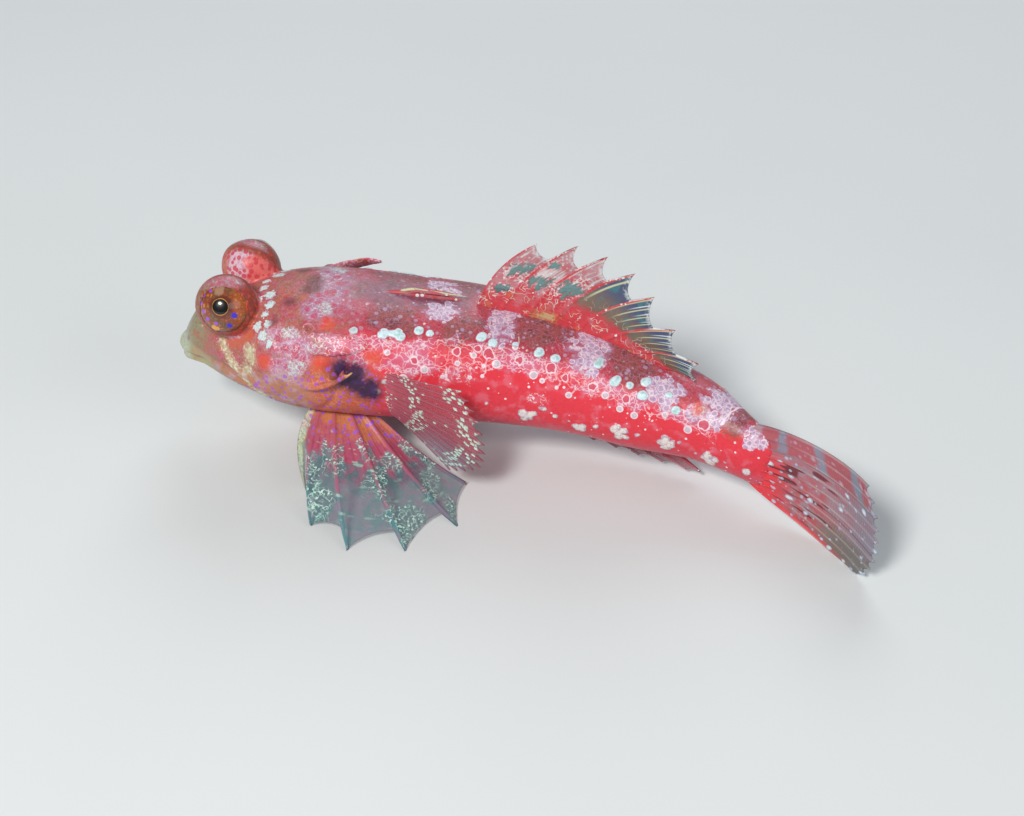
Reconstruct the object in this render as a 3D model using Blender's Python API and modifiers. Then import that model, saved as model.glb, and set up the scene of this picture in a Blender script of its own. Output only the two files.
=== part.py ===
"""A small red reef dragonet, life-size, resting on its spread pelvic fins and the edge of its tail fin.

Lengths are in millimetres and are turned to metres where a mesh is made. The fish faces -X and its left
side faces -Y. A place on the body is given by s, the distance from the snout along the body's middle line,
and by a turn round that line: 0 on the back, 90 on the left flank, 180 on the belly, 270 on the right.
"""

import math

import bmesh
import bpy
import numpy as np
from mathutils import Vector

MM = 0.001
GAP = 0.3
UP = Vector((0, 0, 1))
LEFT, RIGHT = 1, -1

# The body's middle line: s, then x, y and z. The snout stays level, the trunk dips to the tail,
# and the last third swings to the fish's left.
AXIS = (
    (0.0, -30.9, 12.0, 8.2),
    (6.5, -25.0, 10.0, 9.6),
    (12.2, -19.9, 9.0, 10.4),
    (17.0, -15.2, 8.4, 10.3),
    (21.8, -10.4, 8.1, 9.9),
    (28.8, -3.5, 7.7, 9.3),
    (35.0, 2.6, 6.7, 8.7),
    (41.0, 8.2, 5.0, 8.0),
    (45.0, 11.8, 3.4, 7.4),
    (51.0, 17.3, 0.6, 6.6),
    (56.0, 21.1, -2.7, 5.9),
    (62.0, 25.6, -6.6, 5.3),
    (68.5, 29.5, -11.8, 4.9),
    (72.0, 31.0, -14.9, 4.7),
    (76.0, 32.4, -18.6, 4.6),
)

# The body's sections: s, half width, height over the middle line, depth under it, and how boxy the back
# and the belly are. 2 is an ellipse, less comes to a ridge and more has shoulders.
SECTIONS = (
    (0.0, 0.6, 0.5, 0.5, 2.0, 2.0),
    (0.7, 1.7, 1.7, 1.2, 2.0, 2.0),
    (1.8, 2.5, 3.0, 1.9, 1.9, 2.0),
    (3.2, 3.3, 4.2, 2.4, 1.8, 2.1),
    (5.0, 4.3, 4.9, 3.2, 1.7, 2.2),
    (7.5, 5.4, 5.3, 4.4, 1.8, 2.3),
    (10.5, 6.6, 5.8, 5.4, 2.1, 2.4),
    (13.5, 7.2, 5.9, 5.8, 2.4, 2.4),
    (17.0, 7.4, 5.9, 5.8, 2.6, 2.4),
    (22.0, 7.3, 5.8, 5.7, 2.6, 2.4),
    (29.0, 7.0, 5.6, 5.4, 2.6, 2.3),
    (35.0, 6.4, 5.2, 5.1, 2.5, 2.3),
    (41.0, 5.5, 4.8, 4.9, 2.4, 2.2),
    (45.0, 4.8, 4.4, 4.6, 2.3, 2.2),
    (51.0, 3.3, 3.8, 3.8, 2.2, 2.1),
    (55.0, 2.2, 3.2, 3.2, 2.1, 2.0),
    (57.2, 1.7, 3.0, 3.0, 2.0, 2.0),
)

# Where the thin cuts part the body.
HEAD_END = 16.5
TRUNK_END = 31.0
TAIL_END = 46.0
PEDUNCLE_END = 56.5

EYE_S = 7.4
EYE_SIDE = 3.7
EYE_RISE = 5.7
EYE_RADIUS = 2.5
ORBIT_RADIUS = 3.12
ORBIT_RIM = 0.8
PUPIL_RADIUS = 0.75
PUPIL_BULGE = 0.12
GAZE_UP = math.radians(29)
GAZE_BACK = math.radians(8)

AROUND = 28
MEMBRANE = 0.5


def material(name, colour, roughness):
    """A plain finish in linear colour, all of it organic."""
    made = bpy.data.materials.new(name)
    made.use_nodes = True
    shader = made.node_tree.nodes["Principled BSDF"]
    shader.inputs["Base Color"].default_value = (*colour, 1)
    shader.inputs["Roughness"].default_value = roughness
    shader.inputs["Metallic"].default_value = 0.0
    return made


def through(rows, key):
    """The values of the rows at key, on a smooth curve through them by their first column."""
    keys = np.array([row[0] for row in rows], float)
    values = np.array([row[1:] for row in rows], float)
    slopes = np.gradient(values, keys, axis=0)
    i = int(np.clip(np.searchsorted(keys, key) - 1, 0, len(keys) - 2))
    span = keys[i + 1] - keys[i]
    f = min(max((key - keys[i]) / span, 0.0), 1.0)
    start = (2 * f**3 - 3 * f**2 + 1) * values[i] + (f**3 - 2 * f**2 + f) * span * slopes[i]
    end = (3 * f**2 - 2 * f**3) * values[i + 1] + (f**3 - f**2) * span * slopes[i + 1]
    return start + end


def middle(s):
    return Vector(through(AXIS, s))


def frame(s):
    """The directions at s: towards the tail, to the fish's left, and up across the body."""
    step = 0.2
    back = (middle(s + step) - middle(s - step)).normalized()
    left = back.cross(UP).normalized()
    return back, left, left.cross(back)


def in_body(s, side, rise):
    """A point from its place across the body: side is to the left and rise is up from the middle line."""
    _, left, up = frame(s)
    return middle(s) + left * side + up * rise


def section(s, turn, out=0.0):
    """Side and rise of the skin at a turn in degrees, moved outwards by out."""
    half, high, deep, back, belly = through(SECTIONS, s)
    sine, cosine = math.sin(math.radians(turn)), math.cos(math.radians(turn))
    power = 2 / (back if cosine > 0 else belly)
    side = (half + out) * math.copysign(abs(sine) ** power, sine)
    tall = high if cosine > 0 else deep
    return side, (tall + out) * math.copysign(abs(cosine) ** power, cosine)


def skin(s, turn, out=0.0):
    return in_body(s, *section(s, turn, out))


def new_object(name, mesh_or_bm, finish=None):
    """Links a mesh, or a bmesh, as an object of the model."""
    mesh = mesh_or_bm
    if isinstance(mesh, bmesh.types.BMesh):
        mesh = bpy.data.meshes.new(name)
        mesh_or_bm.to_mesh(mesh)
        mesh_or_bm.free()
    made = bpy.data.objects.new(name, mesh)
    MODEL.objects.link(made)
    if finish:
        mesh.materials.clear()
        mesh.materials.append(finish)
    return made


def loft(name, rings):
    """A closed skin over rings of points, all of one count."""
    bm = bmesh.new()
    loops = [[bm.verts.new(p * MM) for p in ring] for ring in rings]
    count = len(loops[0])
    for one, two in zip(loops, loops[1:]):
        for i in range(count):
            j = (i + 1) % count
            bm.faces.new((one[i], one[j], two[j], two[i]))
    for ring in (loops[0], loops[-1]):
        hub = bm.verts.new(sum((v.co for v in ring), Vector()) / count)
        for i in range(count):
            bm.faces.new((ring[i], ring[(i + 1) % count], hub))
    bmesh.ops.recalc_face_normals(bm, faces=bm.faces)
    return new_object(name, bm)


def body_length(name, stations, out=0.0):
    """The body's skin from the first station to the last, closed by a flat at each end."""
    turns = [360 * i / AROUND for i in range(AROUND)]
    return loft(name, [[skin(s, turn, out) for turn in turns] for s in stations])


def evaluated(made):
    """Applies an object's modifiers."""
    bpy.context.view_layer.update()
    graph = bpy.context.evaluated_depsgraph_get()
    mesh = bpy.data.meshes.new_from_object(made.evaluated_get(graph))
    made.modifiers.clear()
    old = made.data
    made.data = mesh
    bpy.data.meshes.remove(old)


def boolean(base, tools, operation, solver="EXACT"):
    """Joins the tools to the base or cuts them from it, and removes them."""
    helpers = bpy.data.collections.new("tools of " + base.name)
    bpy.context.scene.collection.children.link(helpers)
    for tool in tools:
        MODEL.objects.unlink(tool)
        helpers.objects.link(tool)
    modifier = base.modifiers.new(operation.lower(), "BOOLEAN")
    modifier.operation = operation
    modifier.operand_type = "COLLECTION"
    modifier.collection = helpers
    modifier.solver = solver
    evaluated(base)
    for tool in tools:
        bpy.data.meshes.remove(tool.data)
    bpy.data.collections.remove(helpers)


def keep_largest(made):
    """Drops loose scraps, so that one closed surface is left."""
    bm = bmesh.new()
    bm.from_mesh(made.data)
    bmesh.ops.remove_doubles(bm, verts=bm.verts, dist=1e-7)
    left, groups = set(bm.verts), []
    while left:
        group, edge = set(), [left.pop()]
        while edge:
            v = edge.pop()
            group.add(v)
            for e in v.link_edges:
                w = e.other_vert(v)
                if w in left:
                    left.remove(w)
                    edge.append(w)
        groups.append(group)
    groups.sort(key=len)
    for group in groups[:-1]:
        bmesh.ops.delete(bm, geom=list(group), context="VERTS")
    bm.to_mesh(made.data)
    bm.free()


def finish_node(made, finish):
    """One closed body, shaded smooth, in its own finish."""
    keep_largest(made)
    made.data.materials.clear()
    made.data.materials.append(finish)
    made.data.shade_smooth()
    made.data.set_sharp_from_angle(angle=math.radians(50))
    return made


def ball(name, centre, radius, around=20, rings=14, axis=UP, flat_at=None):
    """A sphere whose pole looks along axis. Past flat_at, its cap is pressed flat."""
    bm = bmesh.new()
    bmesh.ops.create_uvsphere(bm, u_segments=around, v_segments=rings, radius=radius)
    for v in bm.verts:
        if flat_at is not None and v.co.z > flat_at:
            v.co.z = flat_at
    turn = UP.rotation_difference(axis).to_matrix().to_4x4()
    bmesh.ops.transform(bm, matrix=turn, verts=bm.verts)
    for v in bm.verts:
        v.co = (v.co + centre) * MM
    return new_object(name, bm)


def tube(name, points, radii, sides=8):
    """A closed tube along points, with a radius at each."""
    rings = []
    for i, point in enumerate(points):
        ahead = points[min(i + 1, len(points) - 1)] - points[max(i - 1, 0)]
        across = ahead.cross(UP if abs(ahead.normalized().z) < 0.9 else Vector((1, 0, 0))).normalized()
        over = across.cross(ahead).normalized()
        turns = [math.tau * k / sides for k in range(sides)]
        rings.append([point + (across * math.cos(t) + over * math.sin(t)) * radii[i] for t in turns])
    return loft(name, rings)


def gaze(side):
    """Where an eye looks: out, up, and a little back."""
    back, left, _ = frame(EYE_S)
    level = left * side * math.cos(GAZE_BACK) + back * math.sin(GAZE_BACK)
    return (level * math.cos(GAZE_UP) + UP * math.sin(GAZE_UP)).normalized()


def eye_centre(side):
    return in_body(EYE_S, side * EYE_SIDE, EYE_RISE)


def eye(name, side, finish):
    """An eyeball with its pupil raised as a low lens."""
    made = ball(name, eye_centre(side), EYE_RADIUS, axis=gaze(side))
    lens_at = eye_centre(side) + gaze(side) * (EYE_RADIUS + PUPIL_BULGE - PUPIL_RADIUS)
    lens = ball("lens", lens_at, PUPIL_RADIUS, around=12, rings=8, axis=gaze(side))
    boolean(made, [lens], "UNION")
    return finish_node(made, finish)


# The mouth's line, from its middle to a corner: s, turn and how far out.
MOUTH = ((0.2, 104.0, 0.05), (0.8, 98.0, 0.0), (1.7, 96.0, 0.0), (2.9, 97.0, -0.05), (4.1, 101.0, -0.3))
UPPER_LIP = 0.52
LOWER_LIP = 0.46
LIP_SPREAD = 0.52


def mouth_line(rise, more_out=0.0, reach=1.0):
    """Points along the mouth from the right corner round the snout to the left one.

    rise lifts the line, less and less towards the corners.
    """
    half = []
    for i, (s, turn, out) in enumerate(MOUTH):
        side, height = section(s * reach, turn, out + more_out)
        half.append((s * reach, side, height + rise * (1 - 0.12 * i)))
    right = [in_body(s, -side, height) for s, side, height in reversed(half)]
    tip = in_body(half[0][0], 0.0, half[0][2]) - frame(0.5)[0] * (0.25 + more_out)
    left = [in_body(s, side, height) for s, side, height in half]
    return right + [tip] + left


def lips():
    """The thick upper and lower lips as two rolls that thin out to the corners."""
    count = 2 * len(MOUTH) + 1
    swell = [0.35 + 0.65 * math.sin(math.pi * i / (count - 1)) ** 0.7 for i in range(count)]
    upper = tube("upper_lip", mouth_line(LIP_SPREAD), [UPPER_LIP * k for k in swell])
    lower = tube("lower_lip", mouth_line(-LIP_SPREAD, reach=1.05), [LOWER_LIP * k for k in swell])
    return [upper, lower]


def mouth_cut():
    """The thin dark slit between the lips."""
    return tube("mouth_cut", mouth_line(0.0, more_out=0.2), [0.18] * (2 * len(MOUTH) + 1), sides=6)


NOSTRIL = (3.7, 48.0)
NOSTRIL_RADIUS = 0.36
GILL_OPENING = (14.4, 44.0)
GILL_RADIUS = 0.7


def raised_ring(name, place, radius, height, side, sides=10):
    """A low tube standing on the skin, and the hole for its middle."""
    s, turn = place
    root = skin(s, side * turn, -0.5)
    top = skin(s, side * turn, height)
    low = skin(s, side * turn, -0.2 * radius)
    over = top + (top - root).normalized() * 0.5
    rim = tube(name, [root, top], [radius * 1.25, radius], sides)
    hole = tube(name + "_hole", [low, over], [radius * 0.45, radius * 0.55], sides)
    return rim, hole


# The cheek spine: s, turn and how far out, from its root in the cheek to its upturned tip.
SPINE = (
    (13.2, 97.0, -0.5, 0.55),
    (15.2, 92.0, 0.45, 0.5),
    (16.8, 87.0, 0.9, 0.42),
    (18.0, 81.0, 1.05, 0.32),
    (18.8, 75.0, 1.25, 0.14),
)
BARBS = ((16.2, 84.0, 0.72), (17.2, 80.0, 0.9))

# The gill cover's end flap: s, turn, how far out, half its width and half its thickness.
FLAP = (
    (12.6, 58.0, -0.8, 0.7, 0.4),
    (14.4, 58.0, 0.25, 1.0, 0.4),
    (16.2, 57.0, 0.75, 1.0, 0.33),
    (17.8, 56.0, 1.05, 0.85, 0.3),
    (19.2, 55.0, 1.35, 0.4, 0.2),
)


def gill_flap(side):
    """The soft flap that ends the gill cover, high on the flank, and stands a little off the body."""
    rings = []
    for s, turn, out, half, thick in FLAP:
        centre = skin(s, side * turn, out)
        over = (skin(s, side * turn, out + 1) - centre).normalized()
        across = frame(s)[0].cross(over).normalized()
        turns = [math.tau * k / 10 for k in range(10)]
        rings.append([centre + across * half * math.cos(t) + over * thick * math.sin(t) for t in turns])
    return loft("gill_flap", rings)


def cheek_spine(side):
    """The bony spine of the cheek, which points back and hooks up, with two barbs on its upper edge."""
    points = [skin(s, side * turn, out) for s, turn, out, _ in SPINE]
    pieces = [tube("cheek_spine", points, [row[3] for row in SPINE], sides=6)]
    for s, turn, out in BARBS:
        foot = skin(s, side * (turn + 3), out)
        tip = skin(s + 0.6, side * (turn - 6), out + 0.25)
        pieces.append(tube("barb", [foot, tip], [0.32, 0.12], sides=5))
    return pieces


def head(finish):
    """The head with its raised orbits, lips, nostrils, gill openings and cheek spines."""
    stations = (0.0, 0.3, 0.7, 1.3, 2.0, 3.0, 4.2, 5.6, 7.2, 9.0, 11.0, 13.0, 14.8, HEAD_END - GAP / 2)
    made = body_length("head", stations)
    joined, removed = lips(), [mouth_cut()]
    for side in (LEFT, RIGHT):
        centre, look = eye_centre(side), gaze(side)
        joined.append(ball("orbit", centre, ORBIT_RADIUS, axis=look, flat_at=ORBIT_RIM))
        removed.append(ball("socket", centre, EYE_RADIUS + GAP, axis=look))
        joined += cheek_spine(side)
        joined.append(gill_flap(side))
        for place, radius, height in ((NOSTRIL, NOSTRIL_RADIUS, 0.45), (GILL_OPENING, GILL_RADIUS, 0.3)):
            rim, hole = raised_ring("opening", place, radius, height, side)
            joined.append(rim)
            removed.append(hole)
    boolean(made, joined, "UNION")
    boolean(made, removed, "DIFFERENCE")
    return finish_node(made, finish)


def spread(start, end, count):
    return [start + (end - start) * i / (count - 1) for i in range(count)]


def along(ray, share):
    """A point on a ray's polyline, at a share of its way from root to tip."""
    place = min(max(share, 0.0), 1.0) * (len(ray) - 1)
    i = min(int(place), len(ray) - 2)
    return ray[i].lerp(ray[i + 1], place - i)


def bent_ray(root, knee, tip, count=9):
    """A ray that leaves its root towards the knee and bends to the tip."""
    return [
        root * (1 - t) ** 2 + knee * 2 * t * (1 - t) + tip * t**2
        for t in spread(0.0, 1.0, count)
    ]


def fin(name, rays, notches, rows=7, ridge=0.35, root=0.0):
    """A fin's web between its rays. The rays are ridges raised in its own surface on both faces.

    notches says how far each web falls short of the ray behind it; it starts at the tip of the ray in front.
    ridge is how much thicker a ray is than the web, and root how much thicker the fin is at the body.
    """
    steps = (0.0, 0.28, 0.55, 0.8)
    thickest = MEMBRANE + ridge + root
    columns = []
    for i, (one, two) in enumerate(zip(rays, rays[1:])):
        for f in steps:
            columns.append((one, two, f, notches[i] * f**0.8))
    columns.append((rays[-2], rays[-1], 1.0, 0.0))
    bm = bmesh.new()
    group = bm.verts.layers.deform.verify()
    grid = []
    for one, two, f, dip in columns:
        line = []
        for share in spread(0.0, 1.0, rows):
            reach = share * (1 - dip)
            v = bm.verts.new(along(one, reach).lerp(along(two, reach), f) * MM)
            raised = ridge * (1 - 0.75 * share) if f in (0.0, 1.0) else 0.0
            v[group][0] = (MEMBRANE + raised + root * (1 - share) ** 3) / thickest
            line.append(v)
        grid.append(line)
    for left, right in zip(grid, grid[1:]):
        for a, b, c, d in zip(left, right, right[1:], left[1:]):
            if (a.co - c.co).length < (b.co - d.co).length:
                bm.faces.new((a, b, c))
                bm.faces.new((a, c, d))
            else:
                bm.faces.new((a, b, d))
                bm.faces.new((b, c, d))
    made = new_object(name, bm)
    made.vertex_groups.new(name="thickness")
    solidify = made.modifiers.new("web", "SOLIDIFY")
    solidify.thickness = thickest * MM
    solidify.offset = 0
    solidify.vertex_group = "thickness"
    solidify.thickness_vertex_group = 0.0
    evaluated(made)
    bm = bmesh.new()
    bm.from_mesh(made.data)
    bmesh.ops.recalc_face_normals(bm, faces=bm.faces)
    bm.to_mesh(made.data)
    bm.free()
    return made


def seat(made, finish):
    """Cuts a fin's root to lie face to face with the body, and its foot flat where it meets the floor."""
    stations = spread(4.0, PEDUNCLE_END + GAP / 2, 30)
    body = body_length("body_cutter", stations, out=GAP)
    boolean(made, [body], "DIFFERENCE", solver="MANIFOLD")
    if min(v.co.z for v in made.data.vertices) < 0:
        bm = bmesh.new()
        bmesh.ops.create_cube(bm, size=1.0)
        for v in bm.verts:
            v.co = Vector((v.co.x * 0.2, v.co.y * 0.2, (v.co.z - 0.5) * 0.02))
        floor = new_object("floor_cutter", bm)
        boolean(made, [floor], "DIFFERENCE", solver="MANIFOLD")
    return finish_node(made, finish)


# The folded first dorsal fin: four spines laid back along the ridge of the back, each with its root, its
# tip and how far it lies to a side, over a thin fold of web.
FOLDED_SPINES = ((19.4, 27.6, 0.0), (20.6, 27.0, 0.28), (21.8, 26.4, -0.28), (23.0, 25.6, 0.1))
FOLD_HEIGHT = 0.75


def first_dorsal(finish):
    web = []
    for s in spread(19.8, 27.0, 9):
        t = (s - 19.8) / 7.2
        top = FOLD_HEIGHT * min(1.0, 0.2 + t * 3) * (1 - 0.35 * t)
        centre, up = skin(s, 0, top / 2 - 0.4), frame(s)[2]
        left, half = frame(s)[1], 0.5 - 0.2 * t
        turns = [math.tau * k / 8 for k in range(8)]
        web.append([centre + left * half * math.cos(t) + up * (top / 2 + 0.4) * math.sin(t) for t in turns])
    made = loft("first_dorsal_fin", web)
    spines = []
    for start, end, side in FOLDED_SPINES:
        points, radii = [], []
        for t in spread(0.0, 1.0, 7):
            s = start + (end - start) * t
            rise = -0.6 + (0.6 + FOLD_HEIGHT) * min(1.0, t * 3) - 0.2 * t
            points.append(skin(s, 0, rise) + frame(s)[1] * side * min(1.0, t * 2.5))
            radii.append(0.3 - 0.12 * t)
        spines.append(tube("spine", points, radii, sides=6))
    boolean(made, spines, "UNION")
    return seat(made, finish)


# The second dorsal fin's eight soft rays: where each leaves the back, the angle from there to its tip, its
# length, how much steeper it starts, and how far its tip leans to the left.
SOFT_ROOTS = (28.3, 30.5, 32.8, 35.1, 37.5, 40.0, 42.5, 45.0)
SOFT_ANGLES = (52, 48, 46, 43, 38, 26, 12, -1)
SOFT_LENGTHS = (9.3, 11.0, 11.3, 11.1, 9.9, 8.3, 7.7, 6.9)
SOFT_CURLS = (16, 12, 10, 10, 10, 10, 9, 8)
SOFT_LEANS = (0, 0, 0, 0, 0, 0.1, 0.5, 1.3)
SOFT_NOTCHES = (0.3, 0.3, 0.28, 0.26, 0.26, 0.28, 0.3)


def ridge_ray(s, angle, length, turn=0, sunk=1.0, curl=0.0, lean=0.0):
    """A ray that stands on the back, or hangs from the belly, and follows the bend of the body."""
    sign = 1 if turn == 0 else -1
    _, edge = section(s, turn)
    line = []
    for t in spread(0.0, 1.0, 9):
        tilt = math.radians(angle + curl * (1 - t))
        base = in_body(s + length * t * math.cos(tilt), lean * t**2, edge)
        line.append(base + UP * sign * (length * t * math.sin(tilt) - sunk * (1 - t) ** 4))
    return line


def second_dorsal(finish):
    rays = [
        ridge_ray(s, angle, length, curl=curl, lean=lean)
        for s, angle, length, curl, lean in zip(SOFT_ROOTS, SOFT_ANGLES, SOFT_LENGTHS, SOFT_CURLS, SOFT_LEANS)
    ]
    made = fin("second_dorsal_fin", rays, SOFT_NOTCHES, rows=8, root=0.35)
    return seat(made, finish)


# The anal fin's eight rays, folded back low under the rear body.
ANAL_ROOTS = spread(33.0, 48.0, 8)
ANAL_ANGLES = spread(26, 18, 8)
ANAL_LENGTHS = (3.4, 4.0, 4.4, 4.6, 4.6, 4.6, 4.8, 5.2)


def anal_fin(finish):
    rays = [
        ridge_ray(s, angle, length, turn=180, curl=6)
        for s, angle, length in zip(ANAL_ROOTS, ANAL_ANGLES, ANAL_LENGTHS)
    ]
    made = fin("anal_fin", rays, [0.22] * 7, rows=6, root=0.3)
    return seat(made, finish)


# The tail fin: ten rays that fan out from the end of the peduncle.
TAIL_RAYS = 10
TAIL_ROOT_HALF = 2.6
TAIL_TOP_SPREAD = 5.0
TAIL_LOW_SPREAD = 5.1
TAIL_SIDE_LENGTH = 14.0
TAIL_MID_LENGTH = 16.4


def caudal_ray(place):
    """A tail ray; place runs from -1 at the lowest ray to 1 at the highest."""
    length = TAIL_MID_LENGTH - (TAIL_MID_LENGTH - TAIL_SIDE_LENGTH) * abs(place) ** 2.2
    reach = TAIL_TOP_SPREAD if place > 0 else TAIL_LOW_SPREAD
    line = []
    for t in spread(0.0, 1.0, 9):
        s = PEDUNCLE_END - 0.2 + length * t
        height = place * (TAIL_ROOT_HALF + (reach - TAIL_ROOT_HALF) * math.sin(t * math.pi / 2) ** 0.6)
        line.append(middle(s) + UP * height)
    return line


def caudal_fin(finish):
    rays = [caudal_ray(place) for place in spread(1.0, -1.0, TAIL_RAYS)]
    made = fin("caudal_fin", rays, [0.07] * (TAIL_RAYS - 1), rows=9, ridge=0.4, root=1.9)
    return seat(made, finish)


# The pectoral fin: its base on the flank, and its rays swept back from high to low.
PECTORAL_RAYS = 13
PECTORAL_ROOT_S = (19.6, 20.6)
PECTORAL_ROOT_TURNS = (76, 122)
PECTORAL_ANGLES = (2, -27)
PECTORAL_LENGTHS = ((0.0, 8.6), (0.35, 10.4), (0.6, 10.6), (1.0, 7.6))
PECTORAL_FLARE = (0.26, 0.5)


def pectoral_ray(side, share):
    """A pectoral ray; share runs from 0 at the top ray to 1 at the lowest."""
    s = PECTORAL_ROOT_S[0] + (PECTORAL_ROOT_S[1] - PECTORAL_ROOT_S[0]) * share
    turn = PECTORAL_ROOT_TURNS[0] + (PECTORAL_ROOT_TURNS[1] - PECTORAL_ROOT_TURNS[0]) * share
    angle = math.radians(PECTORAL_ANGLES[0] + (PECTORAL_ANGLES[1] - PECTORAL_ANGLES[0]) * share)
    length = through(PECTORAL_LENGTHS, share)[0]
    back, left, _ = frame(s)
    root = skin(s, side * turn, -0.9)
    out = left * side
    knee = root + (out * 0.5 + back * 0.8) * length * 0.28
    flare = PECTORAL_FLARE[0] + (PECTORAL_FLARE[1] - PECTORAL_FLARE[0]) * share
    tip = root + (back * math.cos(angle) + UP * math.sin(angle)) * length + out * (flare * length + 0.6)
    return bent_ray(root, knee, tip)


def pectoral_fin(name, side, finish):
    rays = [pectoral_ray(side, share) for share in spread(0.0, 1.0, PECTORAL_RAYS)]
    made = fin(name, rays, [0.05] * (PECTORAL_RAYS - 1), rows=7, ridge=0.25, root=0.7)
    return seat(made, finish)


# The pelvic fin: a spine and five rays that fan from the throat out to the floor. Each ray has its root as s
# and turn, its tip as the distance behind the fin's front root and out from the body's middle plane, how
# far it bows forwards, and how far it arches up.
PELVIC_RAYS = (
    (15.0, 150.0, -0.9, 10.0, 2.6, 1.8),
    (15.5, 152.0, 0.4, 15.2, 1.8, 1.4),
    (16.2, 153.0, 4.2, 18.4, 0.9, 0.6),
    (17.1, 152.0, 9.4, 18.0, 0.0, -0.4),
    (18.1, 150.0, 13.6, 14.0, 0.0, -1.4),
    (19.1, 147.0, 15.0, 8.4, 0.0, -1.8),
)
PELVIC_NOTCHES = (0.1, 0.13, 0.14, 0.14, 0.12)
PELVIC_FOOT = 0.1


def pelvic_ray(side, root_s, turn, behind, out, bow, arch):
    """A pelvic ray: out and slightly up from the throat, then down to the floor."""
    back, left, _ = frame(17.0)
    root = skin(root_s, side * turn, -0.9)
    origin = middle(PELVIC_RAYS[0][0])
    tip = origin + back * behind + left * side * out
    tip.z = PELVIC_FOOT
    knee = root.lerp(tip, 0.5) - back * bow
    knee.z = (root.z + tip.z) / 2 + arch
    return bent_ray(root, knee, tip, count=11)


def pelvic_fin(name, side, finish):
    rays = [pelvic_ray(side, *row) for row in PELVIC_RAYS]
    made = fin(name, rays, PELVIC_NOTCHES, rows=10, ridge=0.35, root=0.7)
    return seat(made, finish)


def stand_on_origin():
    """Moves everything so that the middle of its box is over the origin and its lowest point is at zero."""
    corners = np.array([v.co[:] for made in MODEL.objects for v in made.data.vertices])
    low, high = corners.min(axis=0), corners.max(axis=0)
    shift = Vector((-(low[0] + high[0]) / 2, -(low[1] + high[1]) / 2, -low[2]))
    for made in MODEL.objects:
        for v in made.data.vertices:
            v.co += shift


def build():
    red = material("red_skin", (0.62, 0.05, 0.05), 0.45)
    rosy = material("rosy_head_skin", (0.55, 0.12, 0.07), 0.45)
    web = material("fin_web", (0.50, 0.13, 0.12), 0.4)
    iris = material("eye", (0.30, 0.10, 0.03), 0.12)
    head(rosy)
    eye("eye_left", LEFT, iris)
    eye("eye_right", RIGHT, iris)
    half_gap = GAP / 2
    trunk = body_length("trunk", spread(HEAD_END + half_gap, TRUNK_END - half_gap, 8))
    tail = body_length("tail", spread(TRUNK_END + half_gap, TAIL_END - half_gap, 8))
    peduncle = body_length("caudal_peduncle", spread(TAIL_END + half_gap, PEDUNCLE_END - half_gap, 6))
    for made in (trunk, tail, peduncle):
        finish_node(made, red)
    first_dorsal(web)
    second_dorsal(web)
    anal_fin(web)
    caudal_fin(web)
    for name, side in (("left", LEFT), ("right", RIGHT)):
        pectoral_fin("pectoral_fin_" + name, side, web)
        pelvic_fin("pelvic_fin_" + name, side, web)
    stand_on_origin()


for existing in list(bpy.data.objects):
    bpy.data.objects.remove(existing)
MODEL = bpy.data.collections.new("red_dragonet")
bpy.context.scene.collection.children.link(MODEL)
build()
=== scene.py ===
"""Looks of a small red reef dragonet, life-size: skin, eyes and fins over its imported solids.

The shapes are worked out in millimetres in the fish's own frame, in which a place on the body is s, the
distance from the snout along the middle line, and a turn round it in degrees: 0 on the back, 90 on the left
flank, 180 on the belly and minus on the right. Each finished piece is then brought to metres and to the
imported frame.
"""

import math
from types import SimpleNamespace

import bpy
import numpy as np
from bpy.props import FloatProperty, FloatVectorProperty, IntProperty, PointerProperty
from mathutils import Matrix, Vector


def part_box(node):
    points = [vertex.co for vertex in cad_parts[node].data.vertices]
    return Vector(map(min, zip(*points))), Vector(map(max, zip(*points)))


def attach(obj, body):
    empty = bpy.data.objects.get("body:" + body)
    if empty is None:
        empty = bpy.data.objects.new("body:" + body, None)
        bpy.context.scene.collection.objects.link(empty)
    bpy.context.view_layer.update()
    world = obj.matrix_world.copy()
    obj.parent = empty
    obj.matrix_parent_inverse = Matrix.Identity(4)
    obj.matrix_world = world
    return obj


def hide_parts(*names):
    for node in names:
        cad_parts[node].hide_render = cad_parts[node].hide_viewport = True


bl_info = {
    "name": "Red dragonet",
    "version": (1, 0, 0),
    "blender": (4, 5, 0),
    "location": "3D View > Sidebar > Dragonet",
    "description": "Dresses the solids of a small reef dragonet in its skin, eyes and fins",
    "category": "Object",
}

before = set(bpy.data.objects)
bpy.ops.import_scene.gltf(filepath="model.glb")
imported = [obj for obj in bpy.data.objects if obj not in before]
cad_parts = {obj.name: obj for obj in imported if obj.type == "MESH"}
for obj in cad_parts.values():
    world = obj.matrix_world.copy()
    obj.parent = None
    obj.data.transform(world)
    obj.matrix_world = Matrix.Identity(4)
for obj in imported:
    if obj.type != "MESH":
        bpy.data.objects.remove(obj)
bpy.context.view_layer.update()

MM = 0.001
# How deep the relief painted into the wet surfaces is, in metres.
RELIEF_DEPTH = 0.00012
# Fields of markings are cut off this far from an edge, and points are worked on in blocks, to save time.
FIELD_REACH = 3.0
BLOCK = 4000
UP = np.array((0.0, 0.0, 1.0))
LEFT, RIGHT = 1, -1

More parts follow.
